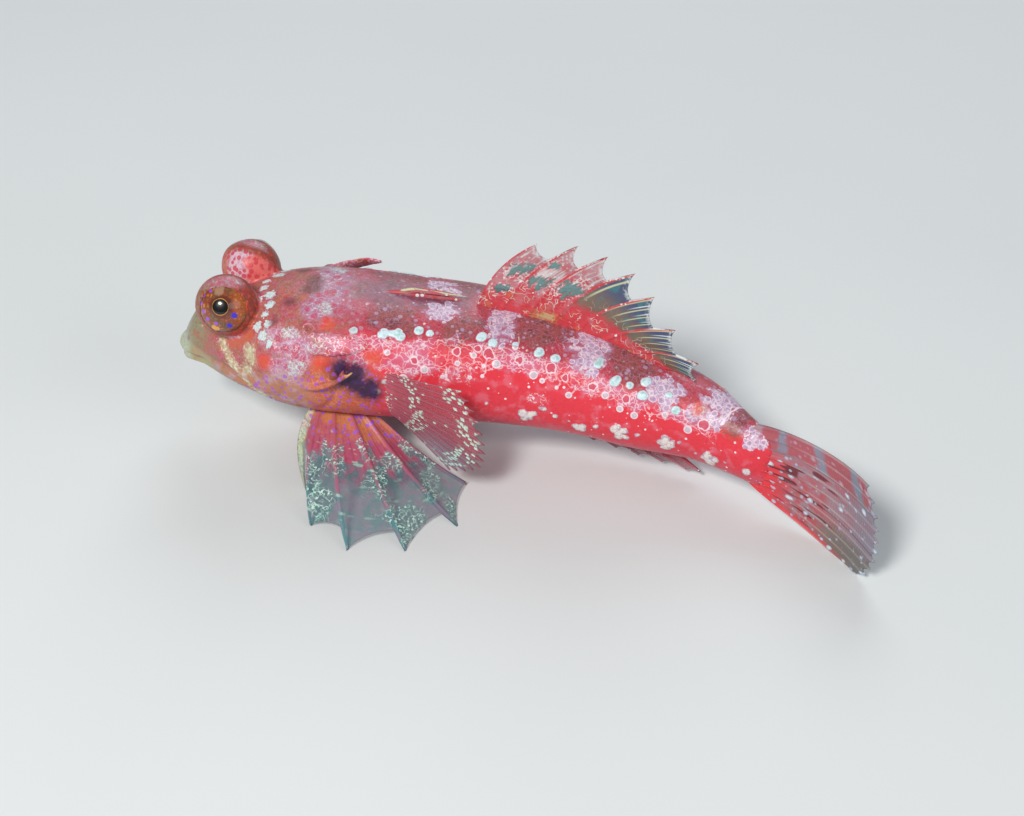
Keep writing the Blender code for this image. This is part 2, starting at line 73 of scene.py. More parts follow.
# The body's middle line: s, x, y and z.
AXIS = (
    (0.0, -30.9, 12.0, 8.2),
    (6.5, -25.0, 10.0, 9.6),
    (12.2, -19.9, 9.0, 10.4),
    (17.0, -15.2, 8.4, 10.3),
    (21.8, -10.4, 8.1, 9.9),
    (28.8, -3.5, 7.7, 9.3),
    (35.0, 2.6, 6.7, 8.7),
    (41.0, 8.2, 5.0, 8.0),
    (45.0, 11.8, 3.4, 7.4),
    (51.0, 17.3, 0.6, 6.6),
    (56.0, 21.1, -2.7, 5.9),
    (62.0, 25.6, -6.6, 5.3),
    (68.5, 29.5, -11.8, 4.9),
    (72.0, 31.0, -14.9, 4.7),
    (76.0, 32.4, -18.6, 4.6),
)

# The body's sections: s, half width, height, depth, and how boxy the back and the belly are.
SECTIONS = (
    (0.0, 0.6, 0.5, 0.5, 2.0, 2.0),
    (0.7, 1.7, 1.7, 1.2, 2.0, 2.0),
    (1.8, 2.5, 3.0, 1.9, 1.9, 2.0),
    (3.2, 3.3, 4.2, 2.4, 1.8, 2.1),
    (5.0, 4.3, 4.9, 3.2, 1.7, 2.2),
    (7.5, 5.4, 5.3, 4.4, 1.8, 2.3),
    (10.5, 6.6, 5.8, 5.4, 2.1, 2.4),
    (13.5, 7.2, 5.9, 5.8, 2.4, 2.4),
    (17.0, 7.4, 5.9, 5.8, 2.6, 2.4),
    (22.0, 7.3, 5.8, 5.7, 2.6, 2.4),
    (29.0, 7.0, 5.6, 5.4, 2.6, 2.3),
    (35.0, 6.4, 5.2, 5.1, 2.5, 2.3),
    (41.0, 5.5, 4.8, 4.9, 2.4, 2.2),
    (45.0, 4.8, 4.4, 4.6, 2.3, 2.2),
    (51.0, 3.3, 3.8, 3.8, 2.2, 2.1),
    (55.0, 2.2, 3.2, 3.2, 2.1, 2.0),
    (57.2, 1.7, 3.0, 3.0, 2.0, 2.0),
)
# The trunk's solid, from which the fish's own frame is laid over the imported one.
TRUNK_SPAN = (16.65, 30.85)
TRUNK_STATIONS = 8
TRUNK_AROUND = 28
# Past the last section the skin runs out thin over the roots of the tail rays.
SKIN_END = 59.6
SKIN_END_SECTION = (60.0, 0.2, 3.3, 3.3, 2.0, 2.0)

EYE_S = 7.4
EYE_SIDE = 3.7
EYE_RISE = 5.7
GAZE_UP = math.radians(29)
GAZE_BACK = math.radians(8)


def linear(code):
    """An sRGB hex value as linear red, green, blue and a full alpha."""
    parts = [int(code[i : i + 2], 16) / 255 for i in (0, 2, 4)]
    return tuple(p / 12.92 if p <= 0.04045 else ((p + 0.055) / 1.055) ** 2.4 for p in parts) + (1.0,)


def tint(name, description, code):
    """A colour that a user may change."""
    return FloatVectorProperty(
        name=name, description=description, subtype="COLOR", size=4, min=0, max=1, default=linear(code)
    )


class DragonetSizes(bpy.types.PropertyGroup):
    """Sizes of the finished surfaces, in millimetres."""

    skin_grain: FloatProperty(
        name="Skin grain", description="Side of the skin's smallest faces", default=0.176, min=0.1
    )
    eye_radius: FloatProperty(name="Eye radius", description="Radius of an eyeball", default=2.5, min=1)
    pupil_radius: FloatProperty(name="Pupil radius", description="Radius of the pupil", default=0.72, min=0.2)
    web: FloatProperty(name="Web thickness", description="Thickness of a fin between its rays", default=0.12)
    ray: FloatProperty(name="Ray height", description="How much thicker a ray is at its root", default=0.34)
    ray_rows: IntProperty(name="Rows", description="Faces of a fin from its root to its margin", default=44)


class DragonetSkinColours(bpy.types.PropertyGroup):
    """Colours of the skin."""

    red: tint("Flank red", "The vivid lower flank", "DE3846")
    crimson: tint("Deep red", "Darker red of the mottling and round the beads", "B02438")
    pink: tint("Pink", "Paler parts of the flank", "DE8294")
    blush: tint("Blush", "Backs of the orbits", "BE94A6")
    rose: tint("Rose", "Low on the flank and inside the rings of the lace", "CC4A60")
    back: tint("Back", "Between the saddles and along the back", "A6464E")
    # Painted shade: the blue-grey with which the ridge of the back is darkened.
    ridge_shade: tint("Dusky back", "Blue-grey cast on the ridge of the back", "4A4E6A")
    belly: tint("Belly", "Dull pink of the belly", "C4788C")
    saddle: tint("Saddle", "Brown saddles over the back", "8E504C")
    saddle_dark: tint("Saddle core", "Middle of the saddles and of the nape spot", "6E3C40")
    umber: tint("Umber", "Fine dark grain of the saddles and the snout", "5A4034")
    lace: tint("Lace ground", "Pink lavender under the lace", "CC80A0")
    lilac: tint("Lilac", "Bubbles of the lace patches", "B6A2C2")
    mauve: tint("Mauve", "Between the bubbles of the lace patches", "AC7A98")
    white: tint("Lace white", "Lines and drops of the lace", "EED6DE")
    pearl: tint("Pearl", "Shaded parts of beads, drops and blotches", "B7A6B4")
    bead: tint("Bead", "Bluish white beads over the flank", "CBE4EA")
    aqua: tint("Aqua", "Green-blue middles of the beads", "9CC6BE")
    cream: tint("Cream", "Blotches low on the flank", "EAE2DC")
    head: tint("Head", "Orange brown of the head", "A2604C")
    cheek: tint("Cheek", "Rosy cells on the cheek", "B8485E")
    orange: tint("Orange", "Round spots and the edge of the gill cover", "DC4A32")
    gill: tint("Gill cover", "Orange behind the gill cover, under its dots", "C26448")
    mint: tint("Mint white", "Blotches behind the eye", "C6DCD8")
    olive: tint("Olive", "Snout", "8A8E70")
    jaw: tint("Jaw", "Pale band from the eye to the throat", "C0C49A")
    throat: tint("Throat", "Throat and the roots of the pelvic fins", "B8805C")
    violet: tint("Violet", "Fine dots of the head and throat", "A65AC8")
    straw: tint("Straw", "Fine threads over the gill cover", "D8A878")
    plum: tint("Plum", "Dark blotch over the pectoral fin's root", "2E1A40")
    indigo: tint("Indigo", "Blue-violet parts of the dark blotch", "46306E")
    rust: tint("Rust", "Rim of the eye", "9C4A34")
    grey: tint("Lid grey", "Upper lid", "A68A98")
    spot: tint("Orbit spots", "Round red spots of the orbit", "C23C48")


class DragonetEyeColours(bpy.types.PropertyGroup):
    """Colours of the eyes."""

    pupil: tint("Pupil", "Pupil", "050508")
    gold: tint("Gold", "Thin ring round the pupil", "E2A23C")
    iris: tint("Iris", "Orange brown of the iris", "A0522D")
    umber: tint("Umber", "Dark parts of the iris", "5E2A26")
    moss: tint("Moss", "Olive parts of the iris", "6E5E38")
    violet: tint("Violet", "Purple dots", "9A4FD0")
    blue: tint("Blue", "Blue dots below the pupil", "3A22C8")
    lid: tint("Beige", "Pale patch over the pupil", "A07A60")
    rust: tint("Rust", "Net of the iris towards the tail", "C4622E")


class DragonetFinColours(bpy.types.PropertyGroup):
    """Colours of the fins."""

    ray: tint("Ray red", "Rays of the dorsal fin", "C8404A")
    root: tint("Root red", "Roots of the tail and pectoral fins", "E03C46")
    rose: tint("Rose", "Web of the pectoral fins", "C45C6A")
    wine: tint("Wine", "Dark fine rays of the paired fins", "8E3A52")
    magenta: tint("Magenta", "Inner part of the pelvic fins", "B0546C")
    membrane: tint("Membrane", "Thin web of the dorsal fin", "B98A92")
    water: tint("Window", "Clear windows of the webs", "2F8684")
    olive: tint("Olive", "Lower part of the striped webs", "6E6A58")
    slate: tint("Slate", "Dark blue of the striped webs", "3A4C78")
    straw: tint("Straw", "Yellow stripes and the folded spine", "C9C9A0")
    bark: tint("Bark", "Brown grain of the folded spine", "8A7650")
    pale: tint("Pale dots", "Pale dots of the rays", "DEE8E8")
    sky: tint("Sky", "Pale blue dots of the tail fin", "A9BCD8")
    mint: tint("Mint", "Green-white spots of the paired fins", "B4D8C8")
    orange: tint("Orange", "Roots of the pelvic fins", "C07850")
    teal: tint("Teal", "Outer part of the pelvic fins", "4E8C90")
    smoke: tint("Smoke", "Clear grey parts of the webs", "7C8CA0")
    violet: tint("Violet", "Dots at the roots of the pelvic fins", "9C5CD0")
    ash: tint("Ash", "Grey ground of the tail fin", "A0808A")
    dusky: tint("Dusky rose", "Rosy streaks of the tail fin", "B0606C")
    brick: tint("Brick", "Red bars of the tail fin", "B4484E")
    maroon: tint("Maroon", "Dark slots between the tail's rays", "6A2430")


class DragonetStage(bpy.types.PropertyGroup):
    """The floor, the lights and the camera."""

    floor: tint("Floor", "Plain pale floor", "D9DCDD")
    cloud: tint("Floor clouds", "Faint clouds of the floor", "B8BDC0")
    around: tint("Surroundings", "Pale light from all around", "DCE4EA")
    camera_distance: FloatProperty(name="Camera distance", description="In millimetres", default=186.2)
    camera_drop: FloatProperty(
        name="Camera drop",
        description="How far the camera looks down",
        subtype="ANGLE",
        default=math.radians(35),
    )
    camera_lens: FloatProperty(name="Lens", description="On a 36 mm sensor, in millimetres", default=72.16)


def through(rows, keys):
    """The values of the rows at each key, on a smooth curve through them by their first column."""
    table = np.array(rows, float)
    x, y = table[:, 0], table[:, 1:]
    slopes = np.gradient(y, x, axis=0)
    keys = np.atleast_1d(np.asarray(keys, float))
    i = np.clip(np.searchsorted(x, keys) - 1, 0, len(x) - 2)
    span = (x[i + 1] - x[i])[:, None]
    f = np.clip((keys - x[i])[:, None] / span, 0.0, 1.0)
    start = (2 * f**3 - 3 * f**2 + 1) * y[i] + (f**3 - 2 * f**2 + f) * span * slopes[i]
    return start + (3 * f**2 - 2 * f**3) * y[i + 1] + (f**3 - f**2) * span * slopes[i + 1]


def unit(vectors):
    return vectors / np.maximum(np.linalg.norm(vectors, axis=-1, keepdims=True), 1e-9)


def middle(s):
    return through(AXIS, s)


def directions(s):
    """At each s: towards the tail, to the fish's left, and up across the body."""
    s = np.atleast_1d(np.asarray(s, float))
    back = unit(middle(s + 0.2) - middle(s - 0.2))
    left = unit(np.cross(back, UP))
    return back, left, np.cross(left, back)


def in_body(s, side, rise):
    """Points from their places across the body."""
    _, left, up = directions(s)
    side = np.atleast_1d(np.asarray(side, float))[:, None]
    return middle(s) + left * side + up * np.atleast_1d(np.asarray(rise, float))[:, None]


def section(s, turn, out=0.0):
    """Side and rise of the skin at each turn in degrees, moved outwards by out."""
    half, high, deep, back, belly = through(SECTIONS[:-1] + (SECTIONS[-1], SKIN_END_SECTION), s).T
    sine, cosine = np.sin(np.radians(turn)), np.cos(np.radians(turn))
    power = 2 / np.where(cosine > 0, back, belly)
    side = (half + out) * np.sign(sine) * np.abs(sine) ** power
    return side, (np.where(cosine > 0, high, deep) + out) * np.sign(cosine) * np.abs(cosine) ** power


def skin_at(s, turn, out=0.0):
    s, turn = np.broadcast_arrays(np.atleast_1d(np.asarray(s, float)), turn)
    return in_body(s, *section(s, turn, out))


def line_on_skin(rows, side):
    """Points at rows of s, turn and, where the rows have it, how far out."""
    rows = np.array(rows, float)
    return skin_at(rows[:, 0], side * rows[:, 1], rows[:, 2] if rows.shape[1] > 2 else 0.0)


def place_on_body(points):
    """For each point its s, its turn in degrees and how far it stands off the body's sections."""
    steps = np.arange(0.0, SKIN_END + 0.05, 0.1)
    line = middle(steps)
    nearest = np.empty(len(points), int)
    for i in range(0, len(points), BLOCK):
        gap = points[i : i + BLOCK, None, :] - line[None]
        nearest[i : i + BLOCK] = np.argmin(np.einsum("ijk,ijk->ij", gap, gap), axis=1)
    s = steps[nearest]
    s = s + np.einsum("ij,ij->i", points - middle(s), directions(s)[0])
    s = np.clip(s, 0.0, SKIN_END)
    _, left, up = directions(s)
    side = np.einsum("ij,ij->i", points - middle(s), left)
    rise = np.einsum("ij,ij->i", points - middle(s), up)
    half, high, deep, back, belly = through(SECTIONS[:-1] + (SECTIONS[-1], SKIN_END_SECTION), s).T
    tall, box = np.where(rise > 0, high, deep), np.where(rise > 0, back, belly)
    sine = np.abs(side / half) ** (box / 2) * np.sign(side)
    cosine = np.abs(rise / tall) ** (box / 2) * np.sign(rise)
    scale = (sine**2 + cosine**2) ** (1 / box)
    out = np.hypot(side, rise) * (1 - 1 / np.maximum(scale, 0.05))
    return s, np.degrees(np.arctan2(sine, cosine)), out


def frame_shift():
    """From the fish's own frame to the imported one, in millimetres, by the trunk's solid."""
    stations = np.linspace(*TRUNK_SPAN, TRUNK_STATIONS)
    turns = np.arange(TRUNK_AROUND) * 360 / TRUNK_AROUND
    s, turn = np.meshgrid(stations, turns)
    low = skin_at(s.ravel(), turn.ravel()).min(axis=0)
    return np.array(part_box("trunk")[0][:]) / MM - low


SHIFT = frame_shift()


def gaze(side):
    """Where an eye looks, then the ways to the tail and up across that look."""
    back, left, _ = (way[0] for way in directions(EYE_S))
    level = left * side * math.cos(GAZE_BACK) + back * math.sin(GAZE_BACK)
    look = unit(level * math.cos(GAZE_UP) + UP * math.sin(GAZE_UP))
    tailwards = unit(back - look * (back @ look))
    return look, tailwards, unit(np.cross(look, tailwards)) * side


def eye_centre(side):
    return in_body(EYE_S, side * EYE_SIDE, EYE_RISE)[0]


def points_of(piece):
    co = np.empty(len(piece.data.vertices) * 3)
    piece.data.vertices.foreach_get("co", co)
    return co.reshape(-1, 3)


def move_points(piece, points):
    piece.data.vertices.foreach_set("co", np.asarray(points, float).ravel())
    piece.data.update()


def select_only(pieces):
    bpy.ops.object.select_all(action="DESELECT")
    for piece in pieces:
        piece.select_set(True)
    bpy.context.view_layer.objects.active = pieces[0]


def from_sphere(name, around, rings, shape):
    """A sphere primitive reshaped: shape turns each point's way from pole to pole, 0 to 1, and its turn
    in degrees into a place."""
    bpy.ops.object.select_all(action="DESELECT")
    bpy.ops.mesh.primitive_uv_sphere_add(segments=around, ring_count=rings, radius=1.0)
    piece = bpy.context.object
    piece.name = name
    co = points_of(piece)
    way = np.arccos(np.clip(co[:, 2], -1, 1)) / math.pi
    move_points(piece, shape(way, np.degrees(np.arctan2(co[:, 0], co[:, 1]))))
    turn_outwards(piece)
    return piece


def turn_outwards(piece):
    select_only([piece])
    bpy.ops.object.mode_set(mode="EDIT")
    bpy.ops.mesh.select_all(action="SELECT")
    bpy.ops.mesh.normals_make_consistent(inside=False)
    bpy.ops.object.mode_set(mode="OBJECT")


def along_path(name, path, radii, around=12, rings=24, blunt=0.35):
    """A round form drawn along a path, with a radius at each of its points and rounded ends."""
    path, radii = np.asarray(path, float), np.asarray(radii, float)
    keys = np.linspace(0, 1, len(path))

    def shape(way, turn):
        centre = through(np.column_stack((keys, path)), way)
        ahead = unit(through(np.column_stack((keys, path)), np.minimum(way + 0.02, 1))
                     - through(np.column_stack((keys, path)), np.maximum(way - 0.02, 0)))
        across = unit(np.cross(ahead, UP + ahead[:, [1, 2, 0]] * 0.01))
        over = np.cross(across, ahead)
        radius = np.interp(way, keys, radii) * np.sin(math.pi * np.clip(way, 0.0, 1.0)) ** blunt
        t = np.radians(turn)[:, None]
        return centre + (across * np.cos(t) + over * np.sin(t)) * radius[:, None]

    return from_sphere(name, around, rings, shape)


def apply_modifier(piece, kind, **settings):
    """Adds a modifier with its settings and applies it."""
    select_only([piece])
    modifier = piece.modifiers.new(kind.lower(), kind)
    for key, value in settings.items():
        setattr(modifier, key, value)
    bpy.ops.object.modifier_apply(modifier=modifier.name)


def keep_field(piece, name, values):
    """Keeps a number or a place for each point of the piece, which its material reads by name."""
    values = np.asarray(values, np.float32)
    kind, key = ("FLOAT", "value") if values.ndim == 1 else ("FLOAT_VECTOR", "vector")
    piece.data.attributes.new(name, kind, "POINT").data.foreach_set(key, values.ravel())


def finish_piece(piece, material, nodes):
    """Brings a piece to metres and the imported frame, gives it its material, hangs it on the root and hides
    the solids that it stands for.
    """
    move_points(piece, (points_of(piece) + SHIFT) * MM)
    piece.data.materials.clear()
    piece.data.materials.append(material)
    piece.data.shade_smooth()
    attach(piece, "root")
    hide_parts(*nodes)


class Value:
    """What a node gives out. Masks are multiplied, joined by | and inverted by ~ as numbers are."""

    def __init__(self, socket):
        self.socket = socket

    def __mul__(self, other):
        return add("Math", self, other, operation="MULTIPLY")

    def __add__(self, other):
        return add("Math", self, other, operation="ADD")

    def __sub__(self, other):
        return add("Math", self, other, operation="SUBTRACT")

    def __or__(self, other):
        return add("Math", self, other, operation="MAXIMUM")

    def __invert__(self):
        return add("Math", 1.0, self, operation="SUBTRACT")

    def beside(self, name):
        """Another output of the same node."""
        return Value(self.socket.node.outputs[name])


# The node trees of the materials made so far: nodes are added to the last one.
TREES = []


def add(kind, *inputs, out=0, **settings):
    """Adds a node with its settings, feeds its inputs in order and gives back one of its outputs."""
    made = TREES[-1].nodes.new("ShaderNode" + kind)
    for key, value in settings.items():
        setattr(made, key, value)
    for socket, value in zip([s for s in made.inputs if s.enabled], inputs):
        if isinstance(value, Value):
            TREES[-1].links.new(value.socket, socket)
        elif value is not None:
            socket.default_value = value
    return Value(made.outputs[out] if isinstance(out, str) else [s for s in made.outputs if s.enabled][out])


def new_material(name, roughness, **constants):
    """A Principled material and its shader, with numbers that hold all over set on its sockets."""
    material = bpy.data.materials.new(name)
    material.use_nodes = True
    TREES.append(material.node_tree)
    shader = material.node_tree.nodes["Principled BSDF"]
    for key, value in {"Roughness": roughness, **constants}.items():
        shader.inputs[key.replace("_", " ")].default_value = value
    return material, shader


def feed(shader, **values):
    """Links values to the shader's inputs."""
    for key, value in values.items():
        TREES[-1].links.new(value.socket, shader.inputs[key.replace("_", " ")])


def layers(colours, ground, *coats):
    """Paints colours, some by their name in the group, over a ground, each where its mask says."""

    def named(colour):
        return getattr(colours, colour) if isinstance(colour, str) else colour

    ground = named(ground)
    for mask, colour in coats:
        ground = add("Mix", mask, ground, named(colour), data_type="RGBA")
    return ground


def rise(value, low, high):
    """0 below low, 1 above high, and smooth between."""
    return add("MapRange", value, low, high, 0.0, 1.0, interpolation_type="SMOOTHSTEP")


def field_of(name):
    return add("Attribute", out="Fac", attribute_name=name)


def ragged(name, edge, soft, rough):
    """The mask of a marking from its field: edge roughens its edge, which is soft to either side."""
    return rise(bent_by(field_of(name), edge, rough), -soft, soft)


def in_millimetres():
    """Object coordinates in millimetres, so that a texture's scale is in features to the millimetre."""
    return add("VectorMath", add("TexCoord", out="Object"), (1 / MM,) * 3, operation="MULTIPLY")


def grain(at, scale, detail=2.0, roughness=0.55):
    """Noise centred on zero, from -0.5 to 0.5."""
    return add("TexNoise", at, scale, detail, roughness, out="Fac") - 0.5


# Markings of each flank, as rows of s, turn, half length along the body and half height round it.
SADDLES = (
    (21.2, 22.0, 2.5, 2.2),
    (27.6, 24.0, 2.0, 1.9),
    (35.0, 12.0, 3.1, 2.4),
    (44.0, 12.0, 2.9, 2.4),
    (54.9, 14.0, 0.8, 2.2),
)
LACE_PATCHES = (
    (25.4, 10.0, 1.7, 1.3),
    (31.4, 15.0, 1.2, 2.7),
    (39.8, 14.0, 2.0, 2.4),
    (40.6, 36.0, 1.2, 1.0),
    (47.8, 34.0, 1.8, 1.5),
    (52.7, 16.0, 1.4, 2.6),
    (52.0, 48.0, 1.2, 1.0),
    (57.2, 24.0, 1.0, 1.5),
)
BEADS = (
    (18.0, 41.0, 0.42, 0.36),
    (20.5, 42.0, 0.62, 0.5),
    (21.8, 40.0, 0.8, 0.55),
    (23.6, 34.0, 0.42, 0.42),
    (24.6, 36.0, 0.36, 0.36),
    (29.7, 34.0, 0.52, 0.5),
    (30.8, 37.0, 0.5, 0.4),
    (33.0, 34.0, 0.28, 0.26),
    (35.5, 37.0, 0.56, 0.52),
    (37.2, 39.0, 0.46, 0.4),
    (41.3, 30.0, 0.5, 0.62),
    (43.5, 43.0, 0.62, 0.5),
    (44.9, 41.0, 0.34, 0.3),
    (46.0, 29.0, 0.5, 0.46),
    (46.2, 48.0, 0.46, 0.4),
    (48.3, 37.0, 0.34, 0.34),
    (49.5, 54.0, 0.46, 0.42),
    (51.8, 37.0, 0.42, 0.34),
)
CREAM = (
    (20.4, 92.0, 0.55, 0.3),
    (21.0, 85.0, 0.3, 0.25),
    (31.0, 94.0, 0.24, 0.24),
    (35.5, 104.0, 0.95, 0.85),
    (36.8, 92.0, 0.5, 0.2),
    (41.2, 110.0, 0.7, 0.7),
    (45.1, 102.0, 1.0, 0.95),
    (49.4, 105.0, 0.92, 0.9),
    (53.9, 116.0, 0.95, 0.9),
    (57.4, 108.0, 0.5, 0.5),
    (38.4, 99.0, 0.16, 0.16),
    (40.0, 103.0, 0.12, 0.12),
    (42.9, 102.0, 0.2, 0.2),
    (46.6, 99.0, 0.2, 0.2),
    (50.7, 98.0, 0.2, 0.18),
    (52.6, 112.0, 0.16, 0.16),
    (55.4, 106.0, 0.22, 0.2),
)
# Little heaps of white curls under the lace.
CURLS = (
    (22.2, 80.0, 1.4, 0.6),
    (26.6, 77.0, 1.0, 0.4),
    (28.8, 76.0, 1.1, 0.45),
    (36.3, 85.0, 1.0, 0.5),
    (41.4, 62.0, 0.9, 0.7),
    (22.3, 96.0, 1.1, 1.0),
)
# Bulbs that hang from the lace, and open rings in it, as rows of s, turn and radius.
BULBS = (
    (21.0, 59.0, 0.3),
    (22.6, 81.0, 0.4),
    (23.8, 84.0, 0.17),
    (24.4, 72.0, 0.38),
    (26.2, 77.0, 0.22),
    (27.6, 63.0, 0.27),
    (29.2, 53.0, 0.3),
    (29.1, 75.0, 0.22),
    (30.3, 62.0, 0.2),
    (30.3, 72.0, 0.2),
    (31.5, 58.0, 0.4),
    (33.0, 37.0, 0.3),
    (35.4, 62.0, 0.4),
    (36.4, 66.0, 0.27),
    (38.0, 70.0, 0.2),
    (39.4, 75.0, 0.33),
    (43.0, 63.0, 0.36),
    (44.7, 73.0, 0.34),
    (46.0, 76.0, 0.36),
    (48.6, 65.0, 0.3),
    (51.3, 75.0, 0.4),
)
RINGS = (
    (23.4, 64.0, 0.3),
    (27.4, 52.0, 0.34),
    (29.5, 46.0, 0.32),
    (30.7, 48.0, 0.45),
    (33.8, 50.0, 0.3),
    (36.9, 51.0, 0.45),
    (38.6, 58.0, 0.36),
    (41.6, 58.0, 0.34),
    (45.0, 60.0, 0.36),
    (52.6, 57.0, 0.52),
)
NAPE = ((16.0, 9.0, 2.3, 2.4), (15.0, 26.0, 1.5, 1.3), (18.4, 20.0, 1.3, 2.0))
CHEEK = ((11.6, 58.0, 1.5, 1.4), (13.6, 66.0, 2.0, 1.7), (12.6, 84.0, 1.7, 1.5), (16.6, 62.0, 1.8, 1.0))
# Green-white patches of fine curls on the head.
FROST = (
    (10.9, 55.0, 0.8, 0.6),
    (12.9, 49.0, 1.0, 0.45),
    (13.7, 81.0, 1.1, 0.8),
    (15.3, 61.0, 1.2, 0.45),
    (17.2, 59.0, 0.6, 0.5),
    (15.4, 21.0, 0.7, 0.7),
)
DARK_SPOTS = ((13.9, 3.0, 1.0, 0.9), (12.6, 20.0, 0.55, 0.5), (11.6, 40.0, 0.35, 0.35))
ORANGE_SPOTS = (
    (10.9, 76.0, 0.8, 0.72),
    (15.9, 38.0, 0.9, 0.5),
    (15.9, 74.0, 1.1, 0.7),
    (19.9, 68.0, 1.1, 0.6),
    (51.4, 37.0, 0.6, 0.5),
)
PLUM = ((17.4, 77.0, 0.8, 1.0), (18.3, 85.0, 1.3, 1.3), (19.5, 91.0, 1.2, 1.0))
# Pale blobs stacked behind the eye.
EYE_BLOTCHES = (
    (9.9, 20.0, 0.5, 0.32),
    (10.0, 5.0, 0.5, 0.34),
    (10.8, 14.0, 0.62, 0.42),
    (11.0, 25.0, 0.45, 0.34),
    (10.8, 34.0, 0.44, 0.3),
    (10.2, 45.0, 0.46, 0.4),
    (11.1, 43.0, 0.36, 0.36),
    (10.6, 54.0, 0.42, 0.4),
    (11.3, 61.0, 0.36, 0.3),
)

# The pale fold from below the eye to the throat: s and turn along it.
JAW_BAND = ((6.2, 60.0), (6.9, 76.0), (7.6, 92.0), (8.2, 110.0), (9.2, 128.0), (11.2, 144.0))
JAW_BAND_HALF = 0.34
JAW_PATCHES = ((9.3, 72.0, 0.7, 0.9), (8.8, 86.0, 0.5, 0.8))


# Each marking that is a cluster of round blobs: its rows, the blobs' radius and their scatter's seed.
CLUSTERED = {
    "lace_patch": (LACE_PATCHES, 0.5, 1),
    "saddle": (SADDLES, 0.9, 2),
    "curl": (CURLS, 0.4, 3),
    "bead": (BEADS, 0.38, 4),
    "cream": (CREAM, 0.4, 5),
    "nape": (NAPE, 0.8, 6),
    "cheek": (CHEEK, 0.8, 7),
    "dark": (DARK_SPOTS, 0.7, 8),
    "orange": (ORANGE_SPOTS, 0.6, 9),
    "plum": (PLUM, 0.7, 10),
    "frost": (FROST, 0.4, 11),
    "eye_blotch": (EYE_BLOTCHES, 0.44, 12),
    "jaw_patch": (JAW_PATCHES, 0.5, 13),
}


# The lace along the flank: s, and the turns at which it begins and ends.
LACE = (
    (17, 46, 72),
    (22, 45, 79),
    (27, 38, 72),
    (34, 40, 60),
    (40, 42, 66),
    (46, 46, 69),
    (52, 50, 74),
    (57, 60, 82),
)


def blob_field(points, blobs):
    """How many millimetres each point lies inside the nearest round blob, or minus how far outside."""
    best = np.full(len(points), -FIELD_REACH)
    for centre, radius in blobs:
        near = np.where(np.abs(points - centre).max(axis=1) < radius + 1.6)[0]
        best[near] = np.maximum(best[near], radius - np.linalg.norm(points[near] - centre, axis=1))
    return best


def clusters(rows, lobe, seed):
    """Round blobs, of about the radius lobe, that fill each row's oval on both flanks."""
    rng = np.random.default_rng(seed)
    blobs = []
    for s, turn, length, height in rows:
        size = min(lobe, length, height)
        count = max(1, round(1.5 * length * height / size**2))
        for side in (LEFT, RIGHT):
            centre = skin_at(s, side * turn)[0]
            back = directions(s)[0][0]
            outward = unit(skin_at(s, side * turn, 1.0)[0] - centre)
            across = unit(np.cross(back, outward))
            for i in range(count):
                a, r = i * 2.4 + rng.uniform(-0.4, 0.4), math.sqrt(i / count)
                x, y = math.cos(a) * r * (length - size * 0.6), math.sin(a) * r * (height - size * 0.6)
                s_there, turn_there, _ = place_on_body((centre + back * x + across * y)[None])
                blobs.append((skin_at(s_there, turn_there)[0], size * rng.uniform(0.8, 1.2)))
    return blobs


def rounds(rows):
    """One round blob for each row on both flanks."""
    return [(skin_at(s, side * turn)[0], radius) for s, turn, radius in rows for side in (LEFT, RIGHT)]


def off_line(points, line):
    """The distance of each point from a line of points."""
    keys = np.linspace(0, 1, len(line))
    dense = through(np.column_stack((keys, line)), np.linspace(0, 1, 24 * (len(line) - 1)))
    low, high = dense.min(axis=0) - FIELD_REACH, dense.max(axis=0) + FIELD_REACH
    near = np.where(((points > low) & (points < high)).all(axis=1))[0]
    away = np.full(len(points), FIELD_REACH)
    for i in range(0, len(near), BLOCK):
        some = near[i : i + BLOCK]
        gap = points[some][:, None, :] - dense[None]
        away[some] = np.minimum(np.sqrt(np.einsum("ijk,ijk->ij", gap, gap).min(axis=1)), FIELD_REACH)
    return away


def stalks(points):
    """The thin bowed stalks by which the bulbs hang from the lace."""
    rng = np.random.default_rng(23)
    best = np.full(len(points), -FIELD_REACH)
    for s, turn, _ in BULBS:
        lean, length = rng.uniform(-0.6, 0.6), rng.uniform(7, 13)
        for side in (LEFT, RIGHT):
            foot, top = skin_at((s, s + lean), side * np.array((turn, turn - length)))
            near = np.where(np.abs(points - foot).max(axis=1) < 2.4)[0]
            gap, stalk = points[near] - foot, top - foot
            share = np.clip(gap @ stalk / (stalk @ stalk), 0, 1)
            bow = np.sin(math.pi * share)[:, None] * np.cross(stalk, unit(foot - middle(s)[0])) * 0.18
            away = np.linalg.norm(gap - share[:, None] * stalk - bow, axis=1)
            best[near] = np.maximum(best[near], 0.08 - away)
    return best


# The mouth's line, from its middle to a corner: s, turn and how far out, as in the solids.
MOUTH = ((0.2, 104.0, 0.05), (0.8, 98.0, 0.0), (1.7, 96.0, 0.0), (2.9, 97.0, -0.05), (4.1, 101.0, -0.3))
UPPER_LIP, LOWER_LIP, LIP_SPREAD = 0.52, 0.46, 0.5
NOSTRILS = ((3.7, 48.0, 0.3, 0.5), (4.9, 40.0, 0.2, 0.25))
GILL_OPENING = (14.4, 44.0)
SPINE = (
    (13.2, 97.0, -0.5, 0.4),
    (15.2, 92.0, 0.3, 0.36),
    (16.8, 87.0, 0.7, 0.3),
    (18.0, 80.0, 0.9, 0.2),
    (18.8, 73.0, 1.15, 0.07),
)
BARBS = ((16.2, 84.0, 0.55), (17.2, 80.0, 0.75))
FLAP = (
    (12.6, 58.0, -0.8, 0.7),
    (14.4, 58.0, 0.0, 1.0),
    (16.2, 57.0, 0.2, 1.05),
    (17.8, 56.0, 0.3, 1.0),
    (19.2, 55.0, 0.15, 0.6),
)
